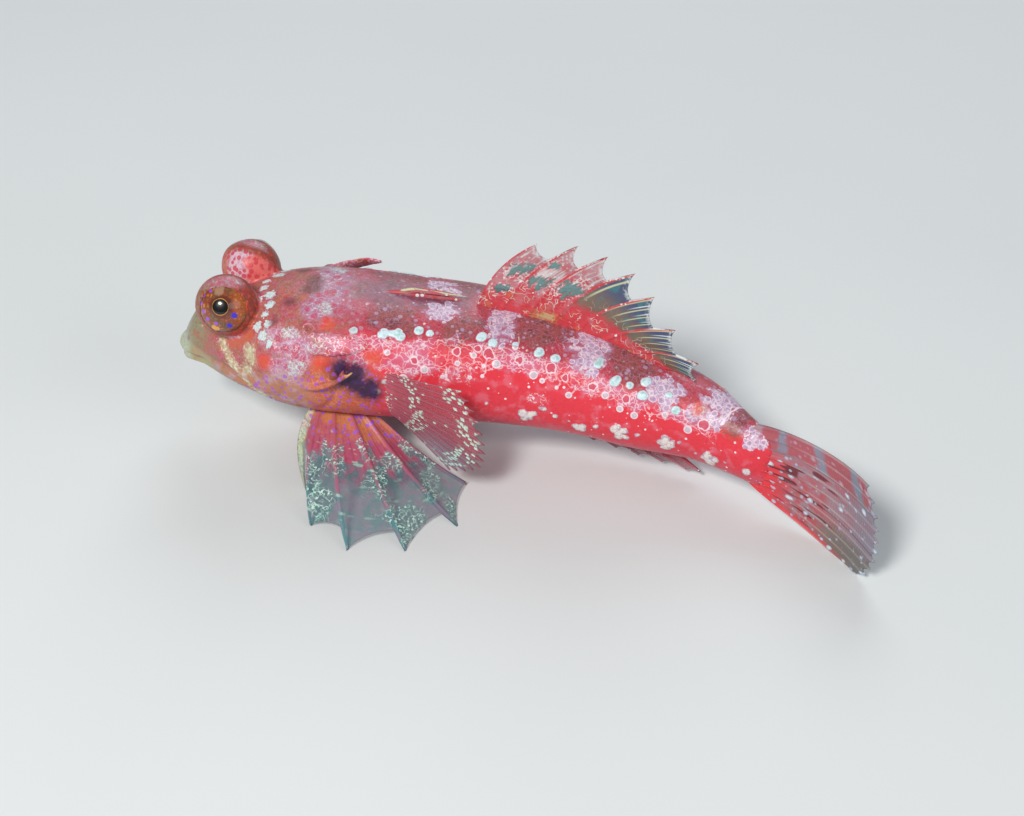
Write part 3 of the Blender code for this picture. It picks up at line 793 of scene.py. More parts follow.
# The fish holds its right flap a little open.
FLAP_LIFTS = {LEFT: 0.0, RIGHT: 0.9}
# Creases of the head as rows of s and turn, with a half width and a depth; a minus depth is a fold.
CREASES = (
    (((9.6, 40.0), (11.6, 56.0), (12.6, 76.0), (12.4, 96.0), (11.2, 118.0)), 0.35, 0.14),
    (((6.0, 96.0), (7.4, 108.0), (9.4, 122.0), (11.6, 134.0)), 0.3, 0.2),
    (((4.6, 84.0), (6.6, 92.0), (8.6, 104.0), (10.8, 116.0)), 0.26, 0.18),
    (((5.2, 66.0), (6.6, 82.0), (8.2, 97.0), (10.0, 110.0)), 0.42, -0.18),
    (((13.4, 128.0), (14.6, 140.0), (15.4, 152.0)), 0.4, 0.3),
    (((13.0, 52.0), (15.2, 66.0), (16.6, 80.0), (16.8, 100.0), (15.6, 122.0)), 0.3, 0.16),
)


def mouth_line(rise_by, more_out=0.0, reach=1.0):
    """Points along the mouth from the right corner round the snout to the left one."""
    rows = np.array(MOUTH)
    side, height = section(rows[:, 0] * reach, rows[:, 1], rows[:, 2] + more_out)
    height = height + rise_by * (1 - 0.12 * np.arange(len(rows)))
    right = in_body(rows[:, 0] * reach, -side, height)[::-1]
    left = in_body(rows[:, 0] * reach, side, height)
    tip = in_body(rows[0, 0], 0.0, height[0]) - directions(0.5)[0] * (0.25 + more_out)
    return np.vstack((right, tip, left))


def body_form():
    """The whole body as one drawn-out sphere, from the snout to the tail rays."""

    def shape(way, turn):
        s = SKIN_END * (0.3 * way**2 + 0.7 * way)
        # The flesh ends in a curve, furthest back at mid height.
        s = np.minimum(s, SKIN_END - 1.6 * np.cos(np.radians(turn)) ** 2)
        return skin_at(np.clip(s, 0, SKIN_END), turn)

    return from_sphere("body", *BODY_MESH, shape)


LID_DROP = math.radians(12)
LID_OPEN = math.radians(60)
LID_RADIUS = 2.6
ORBIT = 2.95
# Faces round and along the round forms that are drawn from a sphere.
BODY_MESH = (110, 240)
ORBIT_MESH = (64, 56)
EYE_MESH = (96, 96)


def lid_axis(look, over):
    """The lid opens a little lower than the eye looks."""
    return unit(look * math.cos(LID_DROP) - over * math.sin(LID_DROP))


def orbit_form(side):
    """The raised orbit: a ball that thins to a lid close on the eyeball, open where the eye looks out and
    a little below."""
    look, tailwards, over = gaze(side)
    axis = lid_axis(look, over)
    high = unit(over - axis * (over @ axis))

    def ball(way, turn):
        t, w = np.radians(turn)[:, None], (way * math.pi)[:, None]
        thick = np.clip((w - LID_OPEN) / math.radians(40), 0, 1)
        radius = LID_RADIUS + (ORBIT - LID_RADIUS) * (3 * thick**2 - 2 * thick**3)
        flat = LID_RADIUS * math.cos(LID_OPEN) / np.maximum(np.cos(w), 0.05)
        radius = np.where(w < LID_OPEN, np.minimum(flat, LID_RADIUS), radius)
        across = tailwards * np.cos(t) + high * np.sin(t)
        return eye_centre(side) + (across * np.sin(w) + axis * np.cos(w)) * radius

    return from_sphere("orbit", *ORBIT_MESH, ball)


def head_forms():
    """The forms that stand on the head: lips, nostril tubes, gill openings, flaps and cheek spines."""
    swell = 0.35 + 0.65 * np.sin(math.pi * np.linspace(0, 1, 11)) ** 0.7
    forms = [
        along_path("upper_lip", mouth_line(LIP_SPREAD), UPPER_LIP * swell, 14, 60),
        along_path("lower_lip", mouth_line(-LIP_SPREAD, reach=1.05), LOWER_LIP * swell, 14, 60),
    ]
    for side in (LEFT, RIGHT):
        for s, turn, radius, height in NOSTRILS:
            tube = skin_at([s] * 3, side * turn, np.array((-0.5, 0.1, height)))
            forms.append(along_path("nostril", tube, [radius * 1.2, radius, radius * 0.9], 12, 14, 0.2))
        tube = skin_at([GILL_OPENING[0]] * 3, side * GILL_OPENING[1], np.array((-0.6, 0.0, 0.3)))
        forms.append(along_path("gill_opening", tube, [0.85, 0.75, 0.6], 14, 14, 0.3))
        radii = [row[3] for row in SPINE]
        forms.append(along_path("cheek_spine", line_on_skin(SPINE, side), radii, 10, 40))
        for s, turn, out in BARBS:
            foot, tip = line_on_skin(((s, turn + 3, out), (s + 0.6, turn - 6, out + 0.25)), side)
            forms.append(along_path("barb", [foot, (foot + tip) / 2, tip], [0.22, 0.16, 0.07], 8, 16))
        forms += [flap_form(side), orbit_form(side)]
    return forms


def flap_form(side):
    """The soft flap that ends the gill cover, thin across and ragged at its tip."""
    rows = np.array(FLAP)
    keys = np.linspace(0, 1, len(rows))
    rows[:, 2] += FLAP_LIFTS[side] * keys
    centres = line_on_skin(rows, side)
    outward = unit(line_on_skin(rows + (0, 0, 1, 0), side) - centres)
    across = unit(np.cross(directions(rows[:, 0])[0], outward))
    table = np.column_stack((keys, centres, across, outward, rows[:, 3]))

    def shape(way, turn):
        t = np.radians(turn)[:, None]
        at = through(table, way * (1 - 0.06 * np.cos(3 * t[:, 0])))
        end = np.sin(math.pi * way)[:, None] ** 0.3
        thick = 0.28 - 0.12 * way[:, None]
        return at[:, :3] + (at[:, 3:6] * at[:, 9:] * np.cos(t) + at[:, 6:9] * thick * np.sin(t)) * end

    return from_sphere("gill_flap", 24, 40, shape)


def normals_of(piece):
    normals = np.empty(len(piece.data.vertices) * 3)
    piece.data.vertex_normals.foreach_get("vector", normals)
    return normals.reshape(-1, 3)


def press_sockets(points, radius):
    """Lays the skin close round each eyeball and behind it."""
    for side in (LEFT, RIGHT):
        look, _, over = gaze(side)
        axis = lid_axis(look, over)
        gap = points - eye_centre(side)
        away = np.linalg.norm(gap, axis=1)
        ahead = gap @ axis
        across = gap - ahead[:, None] * axis
        wide = np.linalg.norm(across, axis=1)
        angle = np.arctan2(wide, ahead)
        inside = (away < LID_RADIUS - 0.02) & (angle < LID_OPEN + 0.5)
        hug = inside & (angle > LID_OPEN - 0.06)
        back = -np.sqrt(np.maximum((radius + 0.08) ** 2 - wide**2, 0))
        cup = inside & ~hug
        points[cup] = (eye_centre(side) + across + back[:, None] * axis)[cup]
        points[hug] = (eye_centre(side) + unit(gap) * (radius + 0.05))[hug]
    return points


def carve(piece):
    """Presses the mouth's slit, the creases and the pores into the skin, and lifts the beads a little."""
    points, normals = points_of(piece), normals_of(piece)
    depth = np.zeros(len(points))
    slit = off_line(points, mouth_line(0.0, more_out=0.15))
    depth += 0.34 * np.exp(-((slit / 0.17) ** 2))
    for side in (LEFT, RIGHT):
        for rows, half, deep in CREASES:
            away = off_line(points, line_on_skin(rows, side))
            depth += deep * np.exp(-((away / half) ** 2))
        for s, turn, radius, height in NOSTRILS:
            top = skin_at(s, side * turn, height)[0]
            depth += 0.5 * height * np.exp(-((np.linalg.norm(points - top, axis=1) / (radius * 0.5)) ** 2))
        pore = skin_at(GILL_OPENING[0], side * GILL_OPENING[1], 0.3)[0]
        depth += 0.55 * np.exp(-((np.linalg.norm(points - pore, axis=1) / 0.34) ** 2))
    beads, cream = clusters(*CLUSTERED["bead"]), clusters(*CLUSTERED["cream"])
    for blobs, lift in ((beads, 0.12), (cream, 0.06), (rounds(BULBS), 0.08)):
        depth -= lift * np.sqrt(np.clip(blob_field(points, blobs) / 0.3, 0, 1))
    move_points(piece, points - normals * depth[:, None])


def skin_fields(piece):
    """Gives the skin the fields of its markings, in millimetres inside each marking's edge."""
    points = points_of(piece)
    s, turn, out = place_on_body(points)
    around = np.abs(turn)
    perimeter = np.interp(s, (0, 8, 17, 30, 45, 57), (6, 30, 42, 38, 28, 15)) / 360
    station, high, low = np.array(LACE).T
    band = np.minimum(around - np.interp(s, station, high), np.interp(s, station, low) - around) * perimeter
    fields = {
        "along": s,
        "around": around / 180,
        "lace_band": np.clip(np.minimum(band, np.minimum(s - 18.0, 54.0 - s)), -FIELD_REACH, FIELD_REACH),
        "drop": blob_field(points, rounds(BULBS)),
        "ring": blob_field(points, rounds(RINGS)),
        "stalk": stalks(points),
    }
    for name, marking in CLUSTERED.items():
        fields[name] = blob_field(points, clusters(*marking))
    near_eye = np.full((len(points), 3), 9.0)
    jaw, flap, spine = (np.full(len(points), -FIELD_REACH) for _ in range(3))
    for side in (LEFT, RIGHT):
        look, tailwards, over = gaze(side)
        gap = points - eye_centre(side)
        near = np.linalg.norm(gap, axis=1) < 4.6
        near_eye[near] = (gap @ np.array((tailwards, over, look)).T)[near]
        jaw = np.maximum(jaw, JAW_BAND_HALF - off_line(points, line_on_skin(JAW_BAND, side)))
        rows = np.array(FLAP[1:])
        rows[:, 2] += FLAP_LIFTS[side] * np.linspace(0.25, 1, len(rows))
        away = off_line(points, line_on_skin(rows, side))
        flap = np.maximum(flap, np.minimum(1.3 - away, out * 2 - 0.2))
        away = off_line(points, line_on_skin(SPINE[3:], side))
        spine = np.maximum(spine, np.minimum(0.5 - away, out * 1.5 - 0.4))
    lips = np.minimum(
        off_line(points, mouth_line(LIP_SPREAD)), off_line(points, mouth_line(-LIP_SPREAD, reach=1.05))
    )
    fields.update(jaw=jaw, flap=flap, spine=spine, lip=0.75 - lips, eye_place=near_eye)
    for name, values in fields.items():
        keep_field(piece, name, values)


def cells(at, scale, random=1.0, **settings):
    """Distances in a cell pattern, of so many cells to the millimetre; random 0 sets them in rows."""
    return add("TexVoronoi", at, scale, 0.0, 0.5, 2.0, random, out="Distance", **settings)


def bubbles(at, scale, small, large, random=1.0):
    """Round cells of uneven size: the masks of their discs, of the rims of these and of their cores."""
    distance = cells(at, scale, random)
    chance = add("SeparateColor", distance.beside("Color"))
    radius = add("Math", chance, large - small, small, operation="MULTIPLY_ADD")
    depth = radius - distance
    disc = rise(depth, 0.0, 0.07)
    return disc, disc * ~rise(depth, 0.1, 0.22), rise(depth, 0.24, 0.38)


def net(at, scale, thin, core):
    """A net of cells: the mask of its thin lines and of the cells' middles."""
    edge = cells(at, scale, feature="DISTANCE_TO_EDGE")
    return ~rise(edge, thin * 0.5, thin), rise(edge, core * 0.6, core)


def curls(at, scale, turns, width):
    """Thin curly lines: level lines of a soft noise."""
    level = grain(at, scale, 1.0) * (turns * math.tau)
    swing = add("Math", add("Math", level, operation="SINE"), operation="ABSOLUTE")
    return ~rise(swing, width * 0.5, width)


def near_value(value, centre, half, soft):
    """The mask of what lies within half of a centre."""
    away = add("Math", value - centre, operation="ABSOLUTE")
    return ~rise(away, half, half + soft)


def bent_by(value, noise, much):
    """A value bent by a noise, so that what follows it wavers."""
    return add("Math", noise, much, value, operation="MULTIPLY_ADD")


def by_the_eye():
    """The place by the nearest eye, tailwards, up and outwards, and how far it is from the eye's middle."""
    place = add("Attribute", out="Vector", attribute_name="eye_place")
    return place, add("VectorMath", place, out="Value", operation="LENGTH")


def skin_material(colours):
    """Wet scaleless skin: satin and a little uneven, with thin slime that softens the highlights."""
    # Living tissue has an IOR near 1.4.
    material, shader = new_material("wet scaleless fish skin", 0.38, IOR=1.4)
    at = in_millimetres()
    wide, fine = grain(at, 0.8), grain(at, 3.5, 3.0)
    swirl = add("TexNoise", at, 1.6, 1.0, out="Color")
    bent = add("VectorMath", at, swirl, operation="ADD")
    loose = add("VectorMath", swirl, (0.4,) * 3, at, operation="MULTIPLY_ADD")
    along, around = field_of("along"), field_of("around")
    turned = bent_by(around, wide, 0.14)
    # Bubbles 0.5 mm across in the patches, cells 0.8 mm across in the open lace and on the head.
    bubble, bubble_rim, _ = bubbles(loose, 1.6, 0.44, 0.62)
    foam, foam_core = net(loose, 1.6, 0.1, 0.34)
    line, cell = net(bent, 1.25, 0.07, 0.3)
    fine_line, fine_cell = net(bent, 2.3, 0.09, 0.3)
    blot, blot_rim, blot_core = bubbles(loose, 1.1, 0.4, 0.62)
    dot = bubbles(at, 1.4, 0.16, 0.36)[0]
    gill_dot = bubbles(at, 1.75, 0.26, 0.42)[0]
    speck = bubbles(at, 1.9, -0.3, 0.3)[0]
    crumb = bubbles(loose, 3.0, 0.0, 0.46)[0]
    curl = curls(at, 1.7, 1.6, 0.24)
    upper = ~rise(turned, 0.17, 0.29)
    ground = layers(
        colours,
        "red",
        (rise(fine, -0.02, 0.3) * 0.4, "crimson"),
        (rise(wide, 0.0, 0.2) * 0.4, "pink"),
        (upper * 0.9, "back"),
        (upper * rise(fine, 0.02, 0.2) * 0.5, "red"),
        (rise(turned, 0.56, 0.72) * 0.7, "rose"),
        (rise(turned, 0.78, 0.95), "belly"),
        (speck, "white"),
    )
    saddle = ragged("saddle", fine, 0.45, 1.2)
    saddle_rim = near_value(bent_by(field_of("saddle"), fine, 1.2), -0.1, 0.2, 0.4)
    band = ragged("lace_band", wide, 0.35, 3.0)
    within = field_of("lace_band")
    sparse = rise(grain(at, 0.35, 1.0), -0.14, 0.06)
    # Threads that run along the lace near its two edges, and crumbs of white under it.
    waver = bent_by(within, grain(at, 1.1, 2.0), 2.6)
    threads = near_value(waver, 0.3, 0.03, 0.05) | near_value(waver, 0.95, 0.02, 0.05)
    scattered = rise(grain(at, 0.6, 1.0), 0.0, 0.12)
    crumbs = crumb * near_value(bent_by(within, wide, 2.0), -0.25, 0.2, 0.3) * scattered
    patch_field = bent_by(field_of("lace_patch"), wide, 1.6)
    patch_edge = rise(bent_by(patch_field, fine, 0.6), -0.28, -0.1)
    patch = rise(bent_by(patch_field, fine, 0.6), 0.0, 0.3)
    drop = field_of("drop")
    ring = bent_by(field_of("ring"), grain(at, 1.5, 1.0), 0.7)
    bead_field = bent_by(field_of("bead"), fine, 0.12)
    cream_field = bent_by(field_of("cream"), grain(at, 1.8, 1.0), 0.5)
    cream = rise(cream_field, -0.04, 0.04)
    bead = rise(bead_field, 0.06, 0.2)
    heap = ragged("curl", fine, 0.3, 1.6)
    # The ridge of the back in front of the second dorsal fin, where shade is painted.
    ridge = ~rise(turned, 0.02, 0.09) * ~rise(along, 27, 29)
    ground = layers(
        colours,
        ground,
        (rise(field_of("saddle"), -0.9, -0.1) * 0.5, "crimson"),
        (saddle_rim * rise(turned, 0.2, 0.28) * 0.5, "orange"),
        (saddle * 0.95, "saddle"),
        (saddle * rise(wide, -0.02, 0.15) * 0.8, "saddle_dark"),
        (saddle * rise(fine, -0.02, 0.16) * 0.5, "back"),
        (saddle * rise(grain(at, 2.2, 2.0), 0.04, 0.2) * 0.6, "umber"),
        ((saddle | upper) * dot * 0.6, "lilac"),
        (upper * fine_line * 0.3, "lace"),
        (upper * curl * rise(wide, -0.05, 0.1) * 0.4, "lilac"),
        # Painted shade: the ridge is darkened to blue-grey and mottled darker still.
        (ridge * 0.5, "ridge_shade"),
        (ridge * rise(grain(at, 1.4, 2.0), -0.02, 0.12) * 0.6, "saddle_dark"),
        (rise(field_of("bead"), -0.22, 0.0) * 0.8, "crimson"),
        (band * sparse * 0.65, "lace"),
        (band * cell * 0.55, "rose"),
        (band * line * bent_by(0.3, sparse, 0.35), "white"),
        (threads * 0.55, "white"),
        (crumbs * 0.85, "white"),
        (heap * 0.35, "pink"),
        (heap * (crumb | curl) * 0.95, "white"),
        (patch_edge * 0.5, "mauve"),
        (patch * 0.85, "lilac"),
        (patch_edge * bubble * 0.85, "lilac"),
        (patch_edge * bubble_rim * 0.75, "white"),
        (patch * foam_core * 0.7, "mauve"),
        (patch * foam * 0.55, "white"),
        (patch * crumb * rise(wide, 0.0, 0.2) * 0.6, "white"),
        (rise(ring, -0.02, 0.03) * 0.9, "rose"),
        (near_value(ring, 0.0, 0.03, 0.05) * 0.85, "white"),
        (rise(field_of("stalk"), -0.03, 0.05) * 0.6, "white"),
        (rise(drop, -0.03, 0.04), "white"),
        (rise(bent_by(drop, fine, 0.25), 0.06, 0.16) * 0.75, "pearl"),
        (rise(bent_by(drop, fine, 0.5), 0.2, 0.32) * 0.5, "mint"),
        (rise(cream_field, -0.2, 0.0) * 0.5, "rose"),
        (cream, "pearl"),
        (rise(bent_by(cream_field, wide, 0.8), 0.02, 0.2) * 0.95, "cream"),
        (cream * fine_line * rise(wide, -0.1, 0.08) * 0.5, "mauve"),
        (cream * fine_cell * 0.5, "cream"),
        (rise(bead_field, -0.05, 0.0), "pearl"),
        (rise(bent_by(bead_field, fine, 0.2), 0.0, 0.08), "bead"),
        (bead * rise(grain(at, 2.0, 1.0), -0.04, 0.1) * 0.8, "aqua"),
        (bead * rise(fine, 0.02, 0.16) * 0.5, "pearl"),
    )
    # A sharp white line parts the pale patch of the tail base from the brown one behind it.
    line_at = near_value(bent_by(along, wide, 0.5), 54.05, 0.05, 0.06)
    line_at = line_at * ~rise(turned, 0.22, 0.27)
    ground = layers(colours, ground, (line_at * 0.9, "white"))
    # The head's own ground takes over in front of the gill opening.
    head = ~rise(bent_by(along, wide, 5.0), 15.5, 19.0)
    nape, cheek = ragged("nape", wide, 0.5, 1.8), ragged("cheek", wide, 0.5, 1.8)
    frost = ragged("frost", fine, 0.25, 1.0)
    veiled = nape | cheek
    low = rise(turned, 0.46, 0.54)
    snout = ~rise(bent_by(along, wide, 3.0), 2.6, 6.5)
    eye_away = by_the_eye()[1]
    near_eye = ~rise(bent_by(eye_away, wide, 3.0), 3.4, 4.4) * rise(turned, 0.2, 0.3)
    blotch_field = bent_by(field_of("eye_blotch"), fine, 1.0)
    jaw = ragged("jaw", fine, 0.4, 1.4) | ragged("jaw_patch", fine, 0.45, 1.4)
    head_ground = layers(
        colours,
        "head",
        (rise(wide, 0.0, 0.16) * 0.6, "cheek"),
        (rise(grain(at, 1.5, 3.0), 0.02, 0.16) * 0.7, "gill"),
        (rise(fine, 0.0, 0.3) * 0.5, "saddle_dark"),
        (nape * 0.75, "mauve"),
        (cheek * 0.65, "lace"),
        (veiled * rise(fine, -0.1, 0.15) * 0.5, "lilac"),
        (blot * ~snout * 0.5, "cheek"),
        (veiled * blot * 0.75, "cheek"),
        (veiled * blot_core * 0.4, "rose"),
        (veiled * blot_rim * rise(wide, -0.1, 0.15) * 0.7, "lilac"),
        (veiled * foam * rise(fine, -0.1, 0.1) * ~blot * 0.55, "white"),
        (fine_line * ~snout * 0.25, "lilac"),
        (cheek * curl * 0.5, "white"),
        (low * 0.75, "throat"),
        (low * rise(wide, -0.05, 0.2) * 0.7, "pearl"),
        (snout * 0.9, "olive"),
        (snout * ~rise(bent_by(along, wide, 2.0), 0.6, 2.4) * 0.5, "mint"),
        (snout * rise(wide, 0.0, 0.15) * 0.6, "head"),
        (snout * fine_cell * 0.35, "gill"),
        (snout * rise(fine, 0.05, 0.25) * 0.6, "umber"),
        (near_eye * 0.7, "gill"),
        (near_eye * rise(fine, 0.0, 0.2) * 0.6, "orange"),
        (jaw * 0.8, "jaw"),
        (jaw * rise(fine, 0.0, 0.2) * 0.6, "cream"),
        (ragged("lip", fine, 0.3, 0.6) * 0.3, "jaw"),
        (frost * 0.55, "pearl"),
        (frost * (curl | fine_line | crumb) * 0.85, "mint"),
        (rise(blotch_field, -0.22, -0.1) * 0.5, "crimson"),
        (rise(blotch_field, -0.08, -0.03), "pearl"),
        (rise(bent_by(blotch_field, wide, 0.4), 0.0, 0.06), "mint"),
        (rise(blotch_field, 0.0, 0.05) * fine_line * 0.6, "pearl"),
    )
    orange = bent_by(along, wide, 2.0)
    gill = rise(orange, 13.6, 15.4) * ~rise(orange, 19.0, 21.5)
    gill = gill * rise(turned, 0.4, 0.46) * ~rise(turned, 0.74, 0.84)
    flap = rise(field_of("flap"), -0.2, 0.5)
    orange_spot = ragged("orange", fine, 0.5, 1.8)
    plum = field_of("plum")
    dark_plum = rise(bent_by(plum, fine, 1.0), -0.4, 0.3)
    dotted = (gill | head * low) * rise(along, 5, 8) * ~dark_plum
    colour = layers(
        colours,
        ground,
        (head, head_ground),
        (gill * 0.85, "gill"),
        (gill * rise(fine, 0.0, 0.2) * 0.5, "orange"),
        (gill * fine_line * 0.3, "straw"),
        (ragged("dark", fine, 0.5, 0.8) * 0.85, "saddle_dark"),
        (orange_spot * 0.85, "orange"),
        (orange_spot * fine_line * 0.4, "gill"),
        (flap * rise(wide, -0.1, 0.1) * 0.4, "lace"),
        (flap * (curl | crumb) * 0.7, "white"),
        (rise(bent_by(plum, wide, 1.2), -1.2, 0.0) * 0.5, "plum"),
        (dark_plum * 0.92, "plum"),
        (dark_plum * rise(grain(at, 1.2, 3.0), -0.02, 0.2) * 0.6, "indigo"),
        (dotted * gill_dot * 0.9, "violet"),
        (rise(field_of("spine"), 0.0, 0.3) * 0.8, "straw"),
        (rise(field_of("spine"), 0.0, 0.2) * rise(fine, 0.0, 0.1) * 0.5, "umber"),
    )
    colour = turret_colours(colours, colour, at, bent, wide, fine)
    raised = band * line | patch * foam | veiled * head * foam | jaw * head * 0.5 | cream
    # The slime lies unevenly, and the pale raised marks are the smoothest.
    slime = add("MapRange", bent_by(fine, raised, -0.2), -0.25, 0.25, 0.28, 0.48)
    relief = bent_by(bent_by(wide, fine, 0.6), raised, 0.7)
    bump = add("Bump", 0.4, RELIEF_DEPTH, None, relief, out="Normal")
    feed(shader, Base_Color=colour, Roughness=slime, Normal=bump)
    return material


def turret_colours(colours, under, at, bent, wide, fine):
    """Paints the raised orbits over the colours under them: pale with red spots behind, rusty in front."""
    place, away = by_the_eye()
    tailwards, over, look = (add("SeparateXYZ", place, out=key) for key in ("X", "Y", "Z"))
    on = ~rise(bent_by(away, fine, 0.5), 2.95, 3.3)
    spot = bubbles(at, 1.8, 0.4, 0.52, 0.7)[0]
    line, cell = net(bent, 1.9, 0.16, 0.36)
    front = ~rise(bent_by(tailwards, wide, 2.0), -1.7, -0.5)
    top = rise(bent_by(over, fine, 0.8), 1.4, 2.1) * rise(look, 0.3, 1.2)
    facing = rise(bent_by(look, fine, 0.8), -0.5, 0.3)
    turret = layers(
        colours,
        "blush",
        (rise(fine, -0.1, 0.3) * 0.5, "lilac"),
        (line * 0.4, "white"),
        (rise(bent_by(tailwards, wide, 3.0), 0.6, 1.6) * 0.8, "orange"),
        (front * 0.9, "gill"),
        (front * rise(fine, -0.05, 0.15) * 0.5, "umber"),
        (spot * 0.85, "spot"),
        (facing, "rust"),
        (facing * cell * 0.75, "gill"),
        (facing * rise(wide, 0.0, 0.15) * 0.6, "orange"),
        (facing * line * 0.5, "saddle_dark"),
        (facing * top * 0.85, "grey"),
        (facing * top * line * 0.6, "cheek"),
        (facing * top * rise(fine, 0.08, 0.2) * 0.7, "mint"),
        (facing * spot * 0.35, "spot"),
        (facing * front * rise(fine, -0.1, 0.15) * 0.7, "olive"),
    )
    return layers(colours, under, (on, turret))


class DRAGONET_OT_skin(bpy.types.Operator):
    """One skin over the head, trunk, tail and peduncle, with the forms of the head fused into it"""

    bl_idname = "dragonet.skin"
    bl_label = "Skin"

    def execute(self, context):
        scene = context.scene
        sizes = scene.dragonet_sizes
        piece = body_form()
        forms = [piece] + head_forms()
        select_only(forms)
        bpy.ops.object.join()
        piece = bpy.context.object
        apply_modifier(piece, "REMESH", mode="VOXEL", voxel_size=sizes.skin_grain, adaptivity=0.0)
        apply_modifier(piece, "SMOOTH", factor=0.5, iterations=5)
        carve(piece)
        move_points(piece, press_sockets(points_of(piece), sizes.eye_radius))
        piece.name = "skin"
        skin_fields(piece)
        nodes = ("head", "trunk", "tail", "caudal_peduncle")
        finish_piece(piece, skin_material(scene.dragonet_skin), nodes)
        return {"FINISHED"}


def eye_material(colours, sizes):
    """A glossy cornea over the iris, which its own place on the eyeball colours."""
    material, shader = new_material("fish eye under a clear cornea", 0.3, IOR=1.38, Coat_Weight=0.7)
    shader.inputs["Coat Roughness"].default_value = 0.06
    here = add("Attribute", out="Vector", attribute_name="eye_place")
    flat = add("VectorMath", here, (1.0, 1.0, 0.0), operation="MULTIPLY")
    wide, fine = grain(here, 0.9, 3.0), grain(here, 3.0, 3.0)
    from_middle = add("VectorMath", flat, out="Value", operation="LENGTH")
    away = bent_by(from_middle, fine, 0.06)
    halo = bent_by(from_middle, wide, 0.9)
    line, cell = net(here, 2.2, 0.16, 0.36)
    tailwards = add("SeparateXYZ", here)
    rim = sizes.pupil_radius
    iris = layers(
        colours,
        "iris",
        (cell * 0.5, "gold"),
        (rise(wide, 0.0, 0.12) * 0.85, "moss"),
        (rise(fine, 0.02, 0.25) * 0.75, "umber"),
        (line * 0.45, "umber"),
        (~rise(halo, 0.9, 1.35) * 0.85, "umber"),
        (rise(bent_by(tailwards, wide, 1.5), 0.9, 1.5) * line * 0.7, "rust"),
        (rise(away, 2.05, 2.45), "umber"),
    )
    for x, y, radius, name in EYE_DOTS:
        gap = add("VectorMath", flat, (x, y, 0.0), out="Value", operation="DISTANCE")
        dot = ~rise(bent_by(gap, fine, radius * 0.8), radius * 0.7, radius * 1.15)
        iris = layers(colours, iris, (dot, getattr(colours, name)))
    colour = layers(
        colours,
        "pupil",
        (rise(away, rim - 0.02, rim + 0.02), "gold"),
        (rise(bent_by(away, wide, 0.2), rim + 0.0, rim + 0.08), iris),
    )
    feed(shader, Base_Color=colour)
    return material


# Dots and streaks of the iris: to the tail and up from the pupil's middle, and a radius, in millimetres.
EYE_DOTS = (
    (-0.1, 1.5, 0.5, "lid"),
    (-0.9, -1.9, 0.3, "gold"),
    (-0.6, -1.95, 0.2, "gold"),
    (-1.66, 1.12, 0.2, "violet"),
    (-0.95, 1.5, 0.18, "violet"),
    (-1.95, 0.4, 0.2, "violet"),
    (-1.72, -0.35, 0.19, "violet"),
    (-1.4, -1.05, 0.2, "violet"),
    (-0.6, -1.5, 0.18, "violet"),
    (1.15, -0.85, 0.28, "blue"),
    (0.55, -1.72, 0.24, "blue"),
)


class DRAGONET_OT_eyes(bpy.types.Operator):
    """The two eyeballs, each with a low lens over its pupil"""

    bl_idname = "dragonet.eyes"
    bl_label = "Eyes"

    def execute(self, context):
        scene = context.scene
        sizes = scene.dragonet_sizes
        material = eye_material(scene.dragonet_eyes, sizes)
        for name, side in (("eye_left", LEFT), ("eye_right", RIGHT)):
            look, tailwards, over = gaze(side)
            own = []

            def ball(way, turn):
                w, t = way * math.pi, np.radians(turn)
                lens = 0.12 * np.exp(-((w * sizes.eye_radius / (sizes.pupil_radius * 1.25)) ** 4))
                radius = sizes.eye_radius + lens
                local = np.column_stack((np.sin(w) * np.sin(t), np.sin(w) * np.cos(t), np.cos(w)))
                local *= radius[:, None]
                own.append(local)
                return eye_centre(side) + local @ np.array((tailwards, over, look))

            piece = from_sphere(name + "_ball", *EYE_MESH, ball)
            keep_field(piece, "eye_place", own[0])
            finish_piece(piece, material, [name])
        return {"FINISHED"}


def bent_ray(root, knee, tip, count=25):
    """A ray that leaves its root towards the knee and bends to the tip."""
    t = np.linspace(0, 1, count)[:, None]
    return root * (1 - t) ** 2 + knee * 2 * t * (1 - t) + tip * t**2


def ridge_ray(s, angle, length, belly=False, curl=0.0, sunk=1.0, lean=0.0, count=25):
    """A ray that stands on the back, or hangs from the belly, and follows the bend of the body."""
    t = np.linspace(0, 1, count)
    tilt = np.radians(angle + curl * (1 - t))
    edge = section(s, 180.0 if belly else 0.0)[1][0]
    base = in_body(s + length * t * np.cos(tilt), lean * t**2, np.full(count, edge))
    return base + UP * (-1 if belly else 1) * (length * t * np.sin(tilt) - sunk * (1 - t) ** 4)[:, None]


def along(ray, share):
    """Points on a ray at shares of its way from root to tip."""
    keys = np.linspace(0, 1, len(ray))
    return np.column_stack([np.interp(share, keys, ray[:, k]) for k in range(3)])


WEB_STEPS = (0.0, 0.05, 0.12, 0.22, 0.36, 0.5, 0.64, 0.78, 0.88, 0.95)


